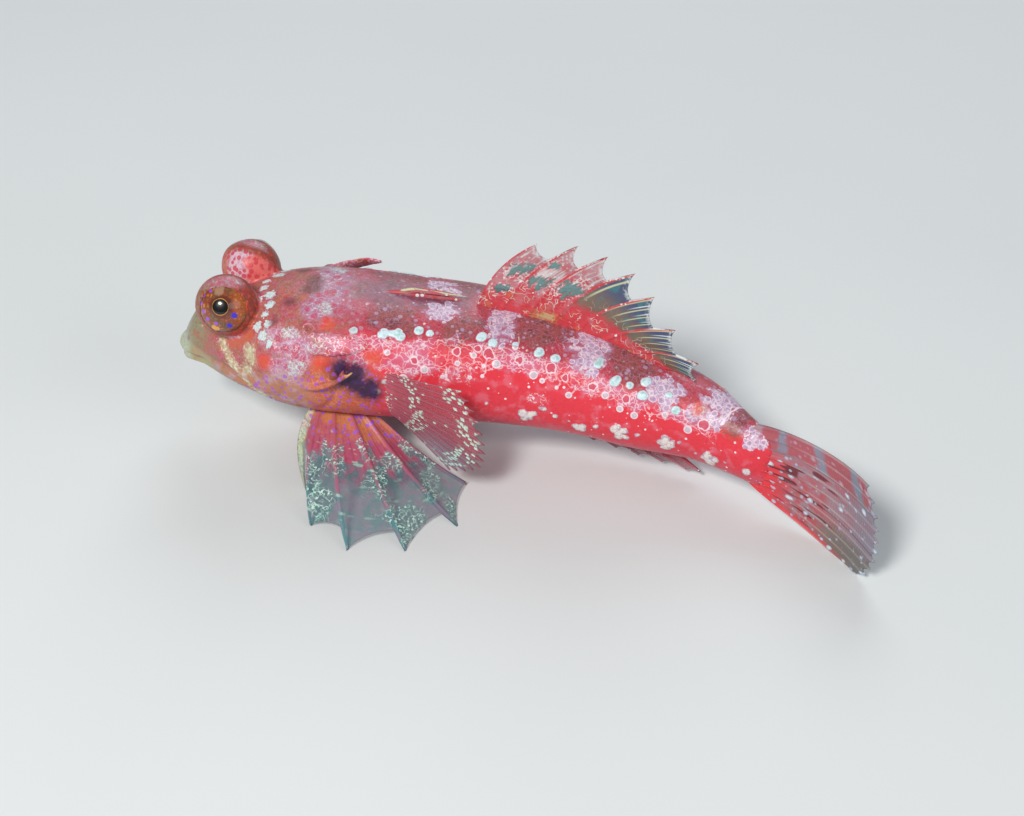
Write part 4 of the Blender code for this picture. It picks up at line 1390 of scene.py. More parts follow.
def web(name, sizes, rays, dips, scallop=0.0, root=0.0, brink=1.0, sag=0.0, ray_width=0.17, ray_scale=1.0):
    """A fin's web from a grid primitive: its columns go from ray to ray, its rows from root to margin.

    dips says how far each web falls short on the ray behind it, scallop how far it draws in between two
    rays, root how much thicker the fin is at the body, brink the share of this at its first and last ray,
    and sag how far a web hangs out of its plane.
    """
    columns = [(i, f) for i in range(len(rays) - 1) for f in WEB_STEPS] + [(len(rays) - 2, 1.0)]
    rows = sizes.ray_rows
    bpy.ops.object.select_all(action="DESELECT")
    bpy.ops.mesh.primitive_grid_add(x_subdivisions=len(columns) - 1, y_subdivisions=rows, size=2.0)
    piece = bpy.context.object
    piece.name = name
    co = points_of(piece)
    column = np.rint((co[:, 0] + 1) / 2 * (len(columns) - 1)).astype(int)
    share = (co[:, 1] + 1) / 2
    which, f = np.array([c[0] for c in columns])[column], np.array([c[1] for c in columns])[column]
    dips = np.array(dips)
    reach = share * (1 - dips[which] * f**0.8 - scallop * np.sin(math.pi * f))
    one, two = np.zeros_like(co), np.zeros_like(co)
    for i in range(len(rays) - 1):
        here = which == i
        one[here], two[here] = along(rays[i], reach[here]), along(rays[i + 1], reach[here])
    points = one + (two - one) * f[:, None]
    width = np.linalg.norm(two - one, axis=1)
    gap = np.minimum(f, 1 - f) * width
    if sag:
        move_points(piece, points)
        swing = np.sin(math.pi * f) * np.minimum(width, 1.6) * sag * np.minimum(share * 3, 1)
        points = points + normals_of(piece) * swing[:, None]
    move_points(piece, points)
    ridge = sizes.ray * ray_scale * (1 - 0.72 * reach) * np.exp(-((gap / ray_width) ** 2))
    off_centre = np.abs((which + f) / (len(rays) - 1) * 2 - 1)
    swell = root * (1 - (1 - brink) * off_centre**2)
    thick = sizes.web + ridge + swell * (1 - np.minimum(share * 1.4, 1)) ** 3
    group = piece.vertex_groups.new(name="thickness")
    for i, value in enumerate(thick / thick.max()):
        group.add([i], float(value), "REPLACE")
    for label, values in (("ray", which + f), ("share", reach), ("gap", gap), ("edge", 1 - share)):
        keep_field(piece, label, values)
    thickest = float(thick.max())
    settings = {"offset": 0.0, "vertex_group": "thickness", "thickness_vertex_group": 0.0}
    apply_modifier(piece, "SOLIDIFY", thickness=thickest, **settings)
    piece.vertex_groups.clear()
    turn_outwards(piece)
    return piece


def fin_material(name):
    """A thin wet web: its material, its shader and the values that all fins share."""
    material, shader = new_material(name, 0.35, IOR=1.4)
    fields = {key: field_of(key) for key in ("ray", "share", "gap", "edge")}
    f = SimpleNamespace(at=in_millimetres(), **fields)
    f.wide, f.fine = grain(f.at, 0.9), grain(f.at, 4.0, 3.0)
    f.on_ray = ~rise(f.gap, 0.08, 0.22)
    return material, shader, f


def wave(value, period, phase=0.0, low=0.4, high=0.8):
    """Bars across a value, one to each period."""
    angle = add("Math", value, math.tau / period, phase, operation="MULTIPLY_ADD")
    return rise(add("Math", angle, operation="SINE"), low, high)


def wear(shader, colour, alpha, relief, f):
    """Feeds a fin's colour, its clearness and its bump to the shader."""
    bump = add("Bump", 0.3, RELIEF_DEPTH, None, f.fine + relief, out="Normal")
    feed(shader, Base_Color=colour, Alpha=alpha, Normal=bump)


def in_fin(f, across, along_ray):
    """A place within a fin, in cells to the web and to the length of a ray."""
    flat = add("CombineXYZ", f.ray, f.share, 0.0)
    return add("VectorMath", flat, (across, along_ray, 1.0), operation="MULTIPLY")


def blocks(place, size, share_kept):
    """Small squares scattered over a fin, of which a share is kept."""
    distance = add("TexVoronoi", place, 1.0, out="Distance", distance="CHEBYCHEV", voronoi_dimensions="2D")
    chance = add("SeparateColor", distance.beside("Color"))
    kept = add("Math", chance, share_kept, operation="LESS_THAN")
    return kept * ~rise(distance, size * 0.8, size * 1.2)


SOFT_ROOTS = (28.3, 30.5, 32.8, 35.1, 37.5, 40.0, 42.5, 45.0)
SOFT_ANGLES = (52, 48, 46, 43, 38, 26, 12, -1)
SOFT_LENGTHS = (9.3, 11.0, 11.3, 11.1, 9.9, 8.3, 7.7, 6.9)
SOFT_CURLS = (16, 12, 10, 10, 10, 10, 9, 8)
SOFT_LEANS = (0, 0, 0, 0, 0, 0.1, 0.5, 1.3)
SOFT_NOTCHES = (0.3, 0.3, 0.28, 0.26, 0.26, 0.28, 0.3)
# Clear windows of the front webs: place among the rays, share of their length, half width, half length.
WINDOWS = (
    (0.55, 0.55, 0.4, 0.1),
    (0.5, 0.28, 0.3, 0.05),
    (1.3, 0.66, 0.22, 0.05),
    (1.5, 0.43, 0.4, 0.085),
    (2.5, 0.47, 0.42, 0.13),
)


def second_dorsal_material(colours):
    """Red rays with pale dots, clear windows in a white haze, and fine stripes in the last webs."""
    material, shader, f = fin_material("soft dorsal fin web")
    nearest = 9.0
    for ray, share, half_width, half_length in WINDOWS:
        place = in_fin(f, 1 / half_width, 1 / half_length)
        centre = (ray / half_width, share / half_length, 0.0)
        gap = add("VectorMath", place, centre, out="Value", operation="DISTANCE")
        nearest = add("Math", nearest, gap, operation="MINIMUM")
    streaky = add("TexNoise", in_fin(f, 6.0, 8.0), 1.0, 2.0, out="Fac")
    nearest = bent_by(bent_by(nearest, f.fine, 0.8), streaky - 0.5, 2.4)
    window = ~rise(nearest, 0.55, 1.05)
    round_windows = near_value(nearest, 1.2, 0.1, 0.45)
    # One pale orange mark near the foot of the third web.
    mark_gap = add("VectorMath", in_fin(f, 1.8, 18.0), (4.7, 2.0, 0.0), out="Value", operation="DISTANCE")
    mark_gap = bent_by(mark_gap, f.wide, 2.0)
    mark = ~rise(bent_by(mark_gap, f.fine, 2.0), 0.6, 1.1)
    mark_core = ~rise(bent_by(mark_gap, f.fine, 2.0), 0.1, 0.7)
    worn = bent_by(f.share, f.wide, 0.16)
    hind = rise(f.ray, 2.85, 3.15)
    in_web = rise(f.gap, 0.08, 0.26)
    low = ~rise(worn, 0.14, 0.3)
    streak = rise(add("TexNoise", in_fin(f, 7.0, 3.0), 1.0, 2.0, out="Fac"), 0.52, 0.62)
    veins = curls(f.at, 1.3, 1.6, 0.22) * rise(grain(f.at, 0.7, 1.0), -0.06, 0.06)
    dots = bubbles(f.at, 2.1, 0.05, 0.38)[0]
    flecks = bubbles(f.at, 3.0, -0.1, 0.42)[0]
    outer = rise(f.share, 0.36, 0.6)
    dark = hind * in_web * rise(worn, 0.28, 0.42)
    lined = hind * rise(f.ray, 3.9, 4.1) * outer
    margin = ~rise(f.edge, 0.0, 0.08)
    front = ~hind
    colour = layers(
        colours,
        "ray",
        (rise(f.wide, 0.0, 0.2) * 0.5, "membrane"),
        (front * in_web * rise(worn, 0.05, 0.35) * rise(f.wide, -0.12, 0.08) * 0.6, "membrane"),
        (low * 0.4, "root"),
        (low * rise(f.fine, -0.1, 0.15) * 0.7, "brick"),
        (low * rise(grain(f.at, 0.7, 2.0), 0.02, 0.14) * 0.6, "orange"),
        (rise(f.fine, 0.0, 0.2) * rise(worn, 0.2, 0.4) * 0.4, "rose"),
        (front * in_web * rise(worn, 0.5, 0.85) * 0.7, "membrane"),
        (front * in_web * streak * rise(worn, 0.3, 0.6) * 0.65, "pale"),
        (round_windows * in_web * front * (veins | flecks | rise(f.fine, 0.0, 0.2)) * 0.8, "pale"),
        (mark * 0.9, "orange"),
        (mark_core * 0.5, "straw"),
        (mark_core * rise(f.fine, 0.0, 0.2) * 0.5, "pale"),
        (window * front * 0.9, "water"),
        (window * front * rise(f.fine, 0.05, 0.2) * 0.3, "slate"),
        (window * front * rise(f.wide, 0.0, 0.1) * (veins | flecks) * 0.45, "pale"),
        (dark * 0.9, "olive"),
        (dark * rise(worn, 0.45, 0.75) * 0.9, "slate"),
        (dark * rise(f.wide, 0.0, 0.15) * outer * 0.6, "water"),
        (lined * wave(f.ray, 0.25, 0.4, 0.8, 0.97), "straw"),
        (lined * rise(f.share, 0.6, 0.8) * wave(f.ray, 0.25, 2.6, 0.88, 0.98), "pale"),
        (hind * ~lined * near_value(f.ray, 3.2, 0.02, 0.03) * outer, "straw"),
        (veins * ~window * rise(worn, 0.02, 0.1) * ~outer * 0.55, "pale"),
        (flecks * ~dark * rise(worn, 0.4, 0.8) * 0.6, "pale"),
        (margin * rise(f.fine, -0.1, 0.1) * 0.8, "pale"),
        (dots * f.on_ray, "pale"),
    )
    clear = window * front * 0.35 | front * in_web * rise(worn, 0.45, 0.8) * 0.35 | dark * 0.2
    wear(shader, colour, ~clear, wave(f.share, 0.03), f)
    return material


def make_fin(context, name, node, material, rays, dips, on_floor=False, **form):
    """Draws a fin's web over its rays and puts it in the place of the solid fin."""
    piece = web(name, context.scene.dragonet_sizes, rays, dips, **form)
    if on_floor:
        points = points_of(piece)
        points[:, 2] = np.maximum(points[:, 2], 0.0)
        move_points(piece, points)
    finish_piece(piece, material, [node])


class DRAGONET_OT_second_dorsal(bpy.types.Operator):
    """The raised second dorsal fin with its eight soft rays and ragged lobes"""

    bl_idname = "dragonet.second_dorsal"
    bl_label = "Second dorsal fin"

    def execute(self, context):
        rows = zip(SOFT_ROOTS, SOFT_ANGLES, SOFT_LENGTHS, SOFT_CURLS, SOFT_LEANS)
        rays = [ridge_ray(s, angle, length, curl=curl, lean=lean) for s, angle, length, curl, lean in rows]
        material = second_dorsal_material(context.scene.dragonet_fins)
        form = {"scallop": 0.03, "root": 0.5, "sag": 0.08}
        make_fin(context, "second_dorsal_web", "second_dorsal_fin", material, rays, SOFT_NOTCHES, **form)
        return {"FINISHED"}


ANAL_ROOTS = np.linspace(33.0, 48.0, 8)
ANAL_ANGLES = np.linspace(26, 18, 8)
ANAL_LENGTHS = (3.4, 4.0, 4.4, 4.6, 4.6, 4.6, 4.8, 5.2)


def anal_fin_material(colours):
    """Rosy web with a dusky margin and pale flecks on the rays."""
    material, shader, f = fin_material("anal fin web")
    flecks = bubbles(f.at, 2.4, 0.0, 0.36)[0]
    colour = layers(
        colours,
        "rose",
        (rise(f.wide, 0.0, 0.2) * 0.6, "ray"),
        (rise(f.share, 0.45, 0.9) * 0.8, "ash"),
        (f.on_ray * flecks, "pale"),
    )
    clear = rise(f.gap, 0.2, 0.5) * rise(f.share, 0.2, 0.7) * 0.5
    wear(shader, colour, ~clear, wave(f.share, 0.05), f)
    return material


class DRAGONET_OT_anal(bpy.types.Operator):
    """The anal fin, folded low under the rear body"""

    bl_idname = "dragonet.anal"
    bl_label = "Anal fin"

    def execute(self, context):
        rows = zip(ANAL_ROOTS, ANAL_ANGLES, ANAL_LENGTHS)
        rays = [ridge_ray(s, angle, length, belly=True, curl=6) for s, angle, length in rows]
        material = anal_fin_material(context.scene.dragonet_fins)
        form = {"scallop": 0.02, "root": 0.4, "sag": 0.05}
        make_fin(context, "anal_web", "anal_fin", material, rays, [0.22] * 7, **form)
        return {"FINISHED"}


PEDUNCLE_END = 56.5
TAIL_RAYS = 10
TAIL_ROOT_HALF = 2.6
TAIL_SPREADS = (5.0, 5.1)
TAIL_SIDE_LENGTH = 14.0
TAIL_MID_LENGTH = 16.4


def caudal_ray(place):
    """A tail ray; place runs from -1 at the lowest ray to 1 at the highest."""
    length = TAIL_MID_LENGTH - (TAIL_MID_LENGTH - TAIL_SIDE_LENGTH) * abs(place) ** 2.2
    reach = TAIL_SPREADS[0] if place > 0 else TAIL_SPREADS[1]
    t = np.linspace(0, 1, 25)
    height = place * (TAIL_ROOT_HALF + (reach - TAIL_ROOT_HALF) * np.sin(t * math.pi / 2) ** 0.6)
    return middle(PEDUNCLE_END - 0.2 + length * t) + UP * height[:, None]


def caudal_material(colours):
    """Pale and red root, then an ash-rose web with brick bars, dark slots and rows of pale blue spots."""
    material, shader, f = fin_material("tail fin web")
    worn = bent_by(f.share, f.wide, 0.08)
    streak = rise(add("TexNoise", in_fin(f, 1.4, 6.0), 1.0, 2.0, out="Fac"), 0.48, 0.58)
    slot = rise(add("TexNoise", in_fin(f, 2.6, 5.0), 1.0, 0.0, out="Fac"), 0.62, 0.68)
    upper = ~rise(bent_by(f.ray, f.wide, 0.8), 1.8, 2.2)
    lower = rise(bent_by(f.ray, f.wide, 1.0), 5.6, 7.0)
    bars = (
        near_value(worn, 0.16, 0.035, 0.04) | near_value(worn, 0.39, 0.09, 0.04)
        | near_value(worn, 0.69, 0.1, 0.04) | near_value(worn, 0.93, 0.02, 0.04)
    )
    root = ~rise(bent_by(f.share, f.wide, 0.3), 0.16, 0.36) * rise(bent_by(f.ray, f.wide, 1.5), 2.0, 3.4)
    middle_red = near_value(worn, 0.35, 0.16, 0.1) * rise(f.ray, 3.0, 4.5)
    tip = rise(worn, 0.6, 0.95)
    disc, rim, _ = bubbles(in_fin(f, 1.6, 17.0), 1.0, -0.1, 0.44)
    small = bubbles(f.at, 1.7, 0.0, 0.34)[0]
    rows = rise(worn, 0.05, 0.14) * ~(upper * 0.75)
    colour = layers(
        colours,
        "ash",
        (streak * 0.7, "dusky"),
        (rise(f.fine, 0.0, 0.3) * 0.5, "dusky"),
        (tip * 0.55, "smoke"),
        (lower * rise(worn, 0.4, 0.7) * 0.7, "olive"),
        (upper * 0.7, "smoke"),
        (upper * ~rise(worn, 0.08, 0.14) * 0.8, "membrane"),
        (upper * bars * 0.8, "brick"),
        (upper * bars * rise(f.fine, 0.0, 0.25) * 0.5, "dusky"),
        (middle_red * rise(f.wide, -0.1, 0.1) * 0.8, "brick"),
        (root, "root"),
        (root * rise(f.fine, 0.05, 0.25) * 0.4, "brick"),
        (slot * near_value(worn, 0.38, 0.2, 0.1) * ~upper * 0.9, "maroon"),
        (near_value(f.ray, 9.0, 0.25, 0.3) * ~tip * 0.8, "root"),
        (near_value(f.ray, 2.1, 0.03, 0.06) * rise(f.share, 0.2, 0.35) * 0.8, "maroon"),
        (near_value(f.ray, 5.5, 0.03, 0.06) * rise(f.share, 0.4, 0.6) * 0.6, "maroon"),
        (small * rows * 0.7, "sky"),
        (disc * rows * 0.85, "sky"),
        (disc * rows * ~rim * 0.8, "pale"),
        (f.on_ray * rise(worn, 0.2, 0.5) * 0.2, "pale"),
    )
    clear = rise(worn, 0.5, 1.0) * ~disc * 0.3
    wear(shader, colour, ~clear, wave(f.share, 0.02), f)
    return material


class DRAGONET_OT_caudal(bpy.types.Operator):
    """The tail fin with its ten rays, its lower edge on the floor"""

    bl_idname = "dragonet.caudal"
    bl_label = "Tail fin"

    def execute(self, context):
        rays = [caudal_ray(place) for place in np.linspace(1, -1, TAIL_RAYS)]
        material = caudal_material(context.scene.dragonet_fins)
        form = {"scallop": 0.03, "root": 3.0, "brink": 0.1, "sag": 0.1, "ray_scale": 1.2}
        make_fin(context, "tail_web", "caudal_fin", material, rays, [0.0] * 9, on_floor=True, **form)
        return {"FINISHED"}


PECTORAL_RAYS = 13
PECTORAL_ROOT_S = (19.6, 20.6)
PECTORAL_ROOT_TURNS = (76, 122)
PECTORAL_ANGLES = (2, -27)
PECTORAL_LENGTHS = ((0.0, 8.6), (0.35, 10.4), (0.6, 10.6), (1.0, 7.6))
PECTORAL_FLARE = (0.26, 0.5)
# Shares of the rays' length at which spots stand in columns.
PECTORAL_COLUMNS = (0.16, 0.53, 0.9)


def pectoral_ray(side, share):
    """A pectoral ray; share runs from 0 at the top ray to 1 at the lowest."""
    s = np.interp(share, (0, 1), PECTORAL_ROOT_S)
    turn = np.interp(share, (0, 1), PECTORAL_ROOT_TURNS)
    angle = math.radians(np.interp(share, (0, 1), PECTORAL_ANGLES))
    length = through(PECTORAL_LENGTHS, share)[0, 0]
    back, left, _ = (way[0] for way in directions(s))
    root = skin_at(s, side * turn, -0.9)[0]
    out = left * side
    knee = root + (out * 0.5 + back * 0.8) * length * 0.28
    flare = np.interp(share, (0, 1), PECTORAL_FLARE)
    tip = root + (back * math.cos(angle) + UP * math.sin(angle)) * length + out * (flare * length + 0.6)
    return bent_ray(root, knee, tip)


def pectoral_material(colours):
    """Rosy clear web with fine dark rays and ragged columns of small whitish dashes."""
    material, shader, f = fin_material("pectoral fin web")
    worn = bent_by(f.share, f.wide, 0.16)
    first, second, last = (near_value(worn, share, 0.04, 0.04) for share in PECTORAL_COLUMNS)
    columns = first | second | last
    dashes = columns * blocks(in_fin(f, 2.2, 28.0), 0.32, 0.62)
    strays = blocks(in_fin(f, 2.0, 24.0), 0.26, 0.06)
    knots = near_value(worn, PECTORAL_COLUMNS[0], 0.07, 0.05) * curls(f.at, 1.8, 1.8, 0.34)
    outer = rise(f.share, 0.45, 0.85)
    colour = layers(
        colours,
        "rose",
        (rise(f.fine, 0.0, 0.3) * 0.6, "ray"),
        (~rise(worn, 0.1, 0.3) * 0.8, "root"),
        (rise(f.ray, 4.0, 10.0) * rise(worn, 0.35, 0.8) * 0.75, "wine"),
        (rise(f.ray, 6.0, 10.0) * outer * 0.75, "smoke"),
        (f.on_ray * 0.7, "wine"),
        (near_value(f.gap, 0.0, 0.02, 0.04) * 0.6, "membrane"),
        (knots * 0.85, "mint"),
        ((dashes | strays) * 0.9, "mint"),
        ((dashes | strays | knots) * rise(f.fine, 0.0, 0.16) * 0.6, "pale"),
    )
    solid = dashes | strays | knots | f.on_ray * 0.6
    clear = rise(worn, 0.12, 0.6) * ~solid * 0.62
    wear(shader, colour, ~clear, wave(f.share, 0.04), f)
    return material


class DRAGONET_OT_pectorals(bpy.types.Operator):
    """The two pectoral fins, swept back over the flanks"""

    bl_idname = "dragonet.pectorals"
    bl_label = "Pectoral fins"

    def execute(self, context):
        material = pectoral_material(context.scene.dragonet_fins)
        form = {"scallop": 0.05, "root": 0.6, "sag": 0.04, "ray_width": 0.1, "ray_scale": 0.5}
        for node, side in (("pectoral_fin_left", LEFT), ("pectoral_fin_right", RIGHT)):
            rays = [pectoral_ray(side, share) for share in np.linspace(0, 1, PECTORAL_RAYS)]
            make_fin(context, node + "_web", node, material, rays, [0.0] * 12, **form)
        return {"FINISHED"}


PELVIC_RAYS = (
    (15.0, 150.0, -0.9, 10.0, 2.6, 1.8),
    (15.5, 152.0, 0.4, 15.2, 1.8, 1.4),
    (16.2, 153.0, 4.2, 18.4, 0.9, 0.6),
    (17.1, 152.0, 9.4, 18.0, 0.0, -0.4),
    (18.1, 150.0, 13.6, 14.0, 0.0, -1.4),
    (19.1, 147.0, 15.0, 8.4, 0.0, -1.8),
)
PELVIC_NOTCHES = (0.1, 0.13, 0.14, 0.14, 0.12)
PELVIC_FOOT = 0.1


def pelvic_ray(side, root_s, turn, behind, out, bow, arch):
    """A pelvic ray: out and slightly up from the throat, then down to the floor."""
    back, left, _ = (way[0] for way in directions(17.0))
    root = skin_at(root_s, side * turn, -0.9)[0]
    tip = middle(PELVIC_RAYS[0][0])[0] + back * behind + left * side * out
    tip[2] = PELVIC_FOOT
    knee = (root + tip) / 2 - back * bow
    knee[2] = (root[2] + tip[2]) / 2 + arch
    return bent_ray(root, knee, tip, count=31)


def pelvic_material(colours):
    """Orange root with purple dots, magenta web, and a clear grey-green outer half with pale squiggles."""
    material, shader, f = fin_material("pelvic fin web")
    reach = bent_by(f.share, f.wide, 0.4)
    violet = bubbles(f.at, 1.8, 0.24, 0.42)[0]
    lead = ~rise(bent_by(f.ray, f.wide, 0.3), 0.25, 0.6)
    patch = rise(add("TexNoise", in_fin(f, 1.1, 4.0), 1.0, 1.0, out="Fac"), 0.48, 0.55)
    squiggle = curls(f.at, 1.5, 2.0, 0.26) | bubbles(f.at, 2.6, 0.0, 0.4)[0]
    squiggle = squiggle * patch * rise(reach, 0.24, 0.36)
    beads = bubbles(in_fin(f, 3.0, 40.0), 1.0, 0.0, 0.5)[0] * rise(reach, 0.3, 0.45)
    fine_rays = wave(f.ray, 0.25, 0.0, 0.4, 0.9)
    outer = rise(reach, 0.4, 0.58)
    bare = ~lead
    colour = layers(
        colours,
        "orange",
        (rise(f.fine, 0.0, 0.25) * 0.6, "ray"),
        (rise(reach, 0.14, 0.34) * bare, "magenta"),
        (rise(f.fine, 0.0, 0.25) * rise(reach, 0.15, 0.4) * 0.6, "wine"),
        (fine_rays * rise(reach, 0.15, 0.4) * 0.4, "wine"),
        (outer * bare * 0.8, "smoke"),
        (outer * rise(f.wide, -0.04, 0.1) * 0.8, "teal"),
        (patch * rise(reach, 0.28, 0.4) * 0.6, "teal"),
        (f.on_ray * rise(f.ray, 0.6, 1.0) * ~rise(reach, 0.55, 0.8) * 0.7, "magenta"),
        (lead * rise(reach, 0.05, 0.2) * 0.9, "straw"),
        (lead * rise(f.fine, -0.05, 0.12) * rise(reach, 0.15, 0.35) * 0.8, "teal"),
        (lead * rise(reach, 0.2, 0.4) * beads, "mint"),
        (lead * rise(f.wide, 0.0, 0.1) * ~outer * 0.6, "membrane"),
        (violet * ~rise(reach, 0.22, 0.36) * 0.9, "violet"),
        (beads * bare * rise(f.wide, -0.05, 0.08) * 0.7, "mint"),
        (squiggle, "mint"),
        (squiggle * rise(f.fine, 0.0, 0.2) * 0.8, "pale"),
    )
    clear = outer * rise(f.gap, 0.05, 0.3) * bare * ~squiggle * 0.66
    wear(shader, colour, ~clear, wave(f.ray, 0.25), f)
    return material


class DRAGONET_OT_pelvics(bpy.types.Operator):
    """The two pelvic fins, spread out on the floor under the throat"""

    bl_idname = "dragonet.pelvics"
    bl_label = "Pelvic fins"

    def execute(self, context):
        material = pelvic_material(context.scene.dragonet_fins)
        form = {"scallop": 0.03, "root": 0.6, "sag": 0.08, "ray_width": 0.22}
        for node, side in (("pelvic_fin_left", LEFT), ("pelvic_fin_right", RIGHT)):
            rays = [pelvic_ray(side, *row) for row in PELVIC_RAYS]
            make_fin(context, node + "_web", node, material, rays, PELVIC_NOTCHES, on_floor=True, **form)
        return {"FINISHED"}


FOLDED_SPINES = ((19.6, 27.6, 0.0), (20.8, 27.0, 0.24), (22.0, 26.4, -0.24), (23.2, 25.6, 0.1))
FOLD_HEIGHT = 0.62


def first_dorsal_material(colours):
    """Red fold of web with one straw-pale spine among reddish ones."""
    material, shader = new_material("folded first dorsal fin", 0.4, IOR=1.4)
    at = in_millimetres()
    wide, fine = grain(at, 0.9), grain(at, 4.0, 3.0)
    flecks = bubbles(at, 2.2, 0.0, 0.42)[0]
    way = field_of("spine_way")
    spine = rise(way, 0.4, 0.6)
    colour = layers(
        colours,
        "brick",
        (rise(wide, -0.1, 0.2) * 0.8, "ash"),
        (rise(way, -0.5, 0.0) * 0.6, "dusky"),
        (flecks * 0.8, "pale"),
        (spine * 0.95, "straw"),
        (spine * rise(fine, 0.0, 0.25) * 0.6, "bark"),
        (spine * rise(wide, 0.02, 0.2) * 0.5, "mint"),
    )
    feed(shader, Base_Color=colour)
    return material


class DRAGONET_OT_first_dorsal(bpy.types.Operator):
    """The first dorsal fin, folded flat: four spines laid back on the ridge over a thin fold of web"""

    bl_idname = "dragonet.first_dorsal"
    bl_label = "First dorsal fin"

    def execute(self, context):
        s = np.linspace(19.6, 27.2, 9)
        t = (s - 19.6) / 7.6
        top = FOLD_HEIGHT * np.minimum(1.0, 0.2 + t * 3) * (1 - 0.35 * t)
        forms = [along_path("fold", skin_at(s, 0.0, top / 2 - 0.2), (top / 2 + 0.15) * 0.8, 16, 60)]
        keep_field(forms[0], "spine_way", np.full(len(forms[0].data.vertices), -1.0))
        for start, end, side in FOLDED_SPINES:
            t = np.linspace(0, 1, 12)
            s = start + (end - start) * t
            lift = -0.6 + (0.6 + FOLD_HEIGHT) * np.minimum(1.0, t * 3) - 0.15 * t
            line = skin_at(s, 0.0, lift) + directions(s)[1] * (side * np.minimum(1.0, t * 2.5))[:, None]
            forms.append(along_path("spine", line, 0.19 - 0.12 * t, 12, 60))
            way = 1.0 if start == FOLDED_SPINES[0][0] else 0.0
            keep_field(forms[-1], "spine_way", np.full(len(forms[-1].data.vertices), way))
        select_only(forms)
        bpy.ops.object.join()
        piece = bpy.context.object
        piece.name = "first_dorsal_fold"
        finish_piece(piece, first_dorsal_material(context.scene.dragonet_fins), ["first_dorsal_fin"])
        return {"FINISHED"}


# Soft studio lights: place in metres, size in metres, power and colour.
LIGHTS = (
    ("key", (-0.16, -0.3, 0.34), 0.12, 2.0, (1.0, 0.98, 0.95)),
    ("fill", (0.34, -0.22, 0.2), 0.3, 0.35, (0.92, 0.96, 1.0)),
    ("back", (0.05, 0.36, 0.3), 0.3, 0.8, (0.9, 0.97, 1.0)),
)
LIGHTS_AIM = Vector((0.0, 0.0, 0.008))
WORLD_STRENGTH = 0.22
FLOOR_SIDE = 4.0
SENSOR_WIDTH = 36


def area_light(name, place, size, energy, colour):
    """A round soft light aimed at the middle of the fish."""
    bpy.ops.object.light_add(type="AREA", location=place)
    lamp = bpy.context.object
    lamp.name = name
    lamp.data.shape = "DISK"
    lamp.data.size = size
    lamp.data.energy = energy
    lamp.data.color = colour
    lamp.rotation_euler = (LIGHTS_AIM - Vector(place)).to_track_quat("-Z", "Y").to_euler()


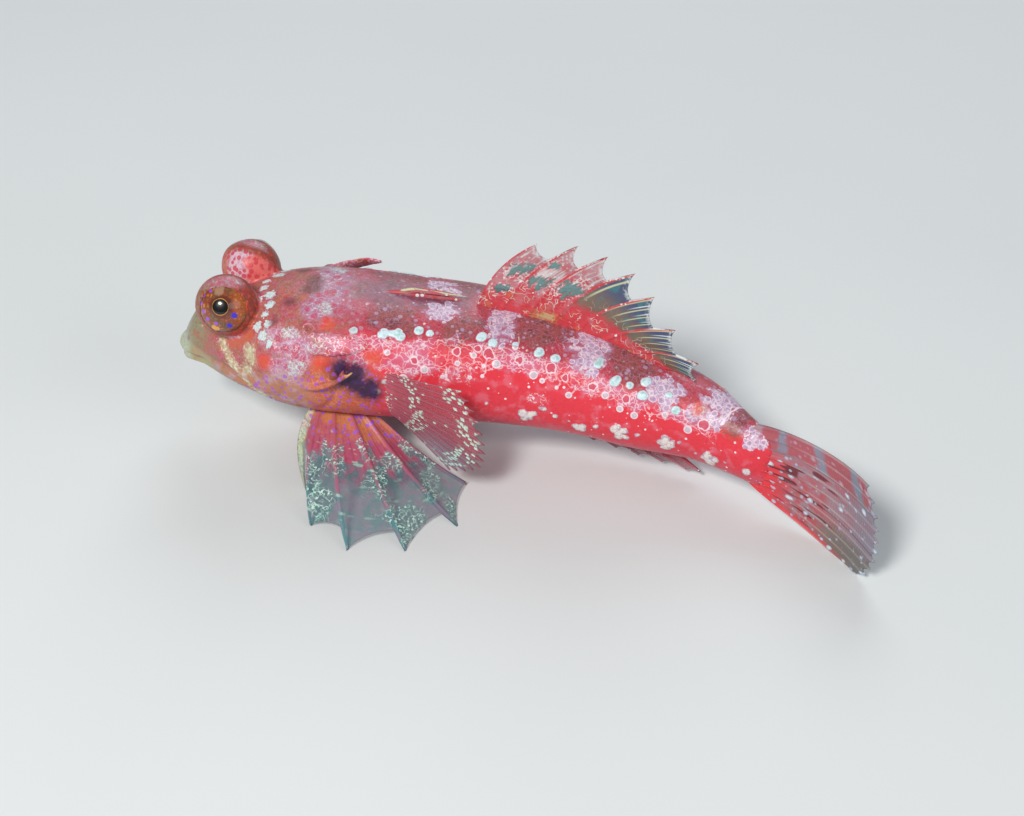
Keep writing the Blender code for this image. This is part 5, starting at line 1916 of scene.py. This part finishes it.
class DRAGONET_OT_stage(bpy.types.Operator):
    """A plain pale floor, soft studio lights and the camera"""

    bl_idname = "dragonet.stage"
    bl_label = "Stage"

    def execute(self, context):
        scene = context.scene
        stage = scene.dragonet_stage
        bpy.ops.object.select_all(action="DESELECT")
        bpy.ops.mesh.primitive_plane_add(size=FLOOR_SIDE, location=(0, 0, 0))
        floor = bpy.context.object
        floor.name = "floor"
        material, shader = new_material("matt painted floor", 0.85)
        mottle = rise(grain(in_millimetres(), 0.02), -0.2, 0.3) * 0.08
        feed(shader, Base_Color=layers(stage, "floor", (mottle, "cloud")))
        floor.data.materials.append(material)
        for light in LIGHTS:
            area_light(*light)
        world = bpy.data.worlds.new("soft studio")
        world.use_nodes = True
        world.node_tree.nodes["Background"].inputs["Color"].default_value = stage.around
        world.node_tree.nodes["Background"].inputs["Strength"].default_value = WORLD_STRENGTH
        scene.world = world
        scene.view_settings.view_transform = "Standard"
        self.place_camera(scene, stage)
        return {"FINISHED"}

    @staticmethod
    def place_camera(scene, stage):
        """Looks across the fish's left side, down on it, as the photograph does."""
        aim = (np.array((0.0, 0.0, 8.5)) + SHIFT) * MM
        drop = stage.camera_drop
        look = np.array((0.0, math.cos(drop), -math.sin(drop)))
        bpy.ops.object.camera_add(location=aim - look * stage.camera_distance * MM)
        camera = bpy.context.object
        camera.rotation_euler = Vector(look).to_track_quat("-Z", "Y").to_euler()
        camera.data.lens = stage.camera_lens
        camera.data.sensor_width = SENSOR_WIDTH
        camera.data.clip_start = 0.005
        scene.camera = camera


OPERATORS = (
    DRAGONET_OT_skin,
    DRAGONET_OT_eyes,
    DRAGONET_OT_first_dorsal,
    DRAGONET_OT_second_dorsal,
    DRAGONET_OT_anal,
    DRAGONET_OT_caudal,
    DRAGONET_OT_pectorals,
    DRAGONET_OT_pelvics,
    DRAGONET_OT_stage,
)
GROUPS = {
    "dragonet_sizes": DragonetSizes,
    "dragonet_skin": DragonetSkinColours,
    "dragonet_eyes": DragonetEyeColours,
    "dragonet_fins": DragonetFinColours,
    "dragonet_stage": DragonetStage,
}


class DRAGONET_PT_panel(bpy.types.Panel):
    """Lists the pieces and the values that they read"""

    bl_label = "Dragonet"
    bl_idname = "DRAGONET_PT_panel"
    bl_space_type = "VIEW_3D"
    bl_region_type = "UI"
    bl_category = "Dragonet"

    def draw(self, context):
        for operator in OPERATORS:
            self.layout.operator(operator.bl_idname)
        for name, group in GROUPS.items():
            box = self.layout.box()
            for key in group.__annotations__:
                box.prop(getattr(context.scene, name), key)


def register():
    for group in GROUPS.values():
        bpy.utils.register_class(group)
    for name, group in GROUPS.items():
        setattr(bpy.types.Scene, name, PointerProperty(type=group))
    for operator in OPERATORS:
        bpy.utils.register_class(operator)
    bpy.utils.register_class(DRAGONET_PT_panel)


def unregister():
    bpy.utils.unregister_class(DRAGONET_PT_panel)
    for operator in reversed(OPERATORS):
        bpy.utils.unregister_class(operator)
    for name in GROUPS:
        delattr(bpy.types.Scene, name)
    for group in GROUPS.values():
        bpy.utils.unregister_class(group)


def main():
    register()
    bpy.ops.dragonet.skin()
    bpy.ops.dragonet.eyes()
    bpy.ops.dragonet.first_dorsal()
    bpy.ops.dragonet.second_dorsal()
    bpy.ops.dragonet.anal()
    bpy.ops.dragonet.caudal()
    bpy.ops.dragonet.pectorals()
    bpy.ops.dragonet.pelvics()
    bpy.ops.dragonet.stage()


if __name__ == "__main__":
    main()
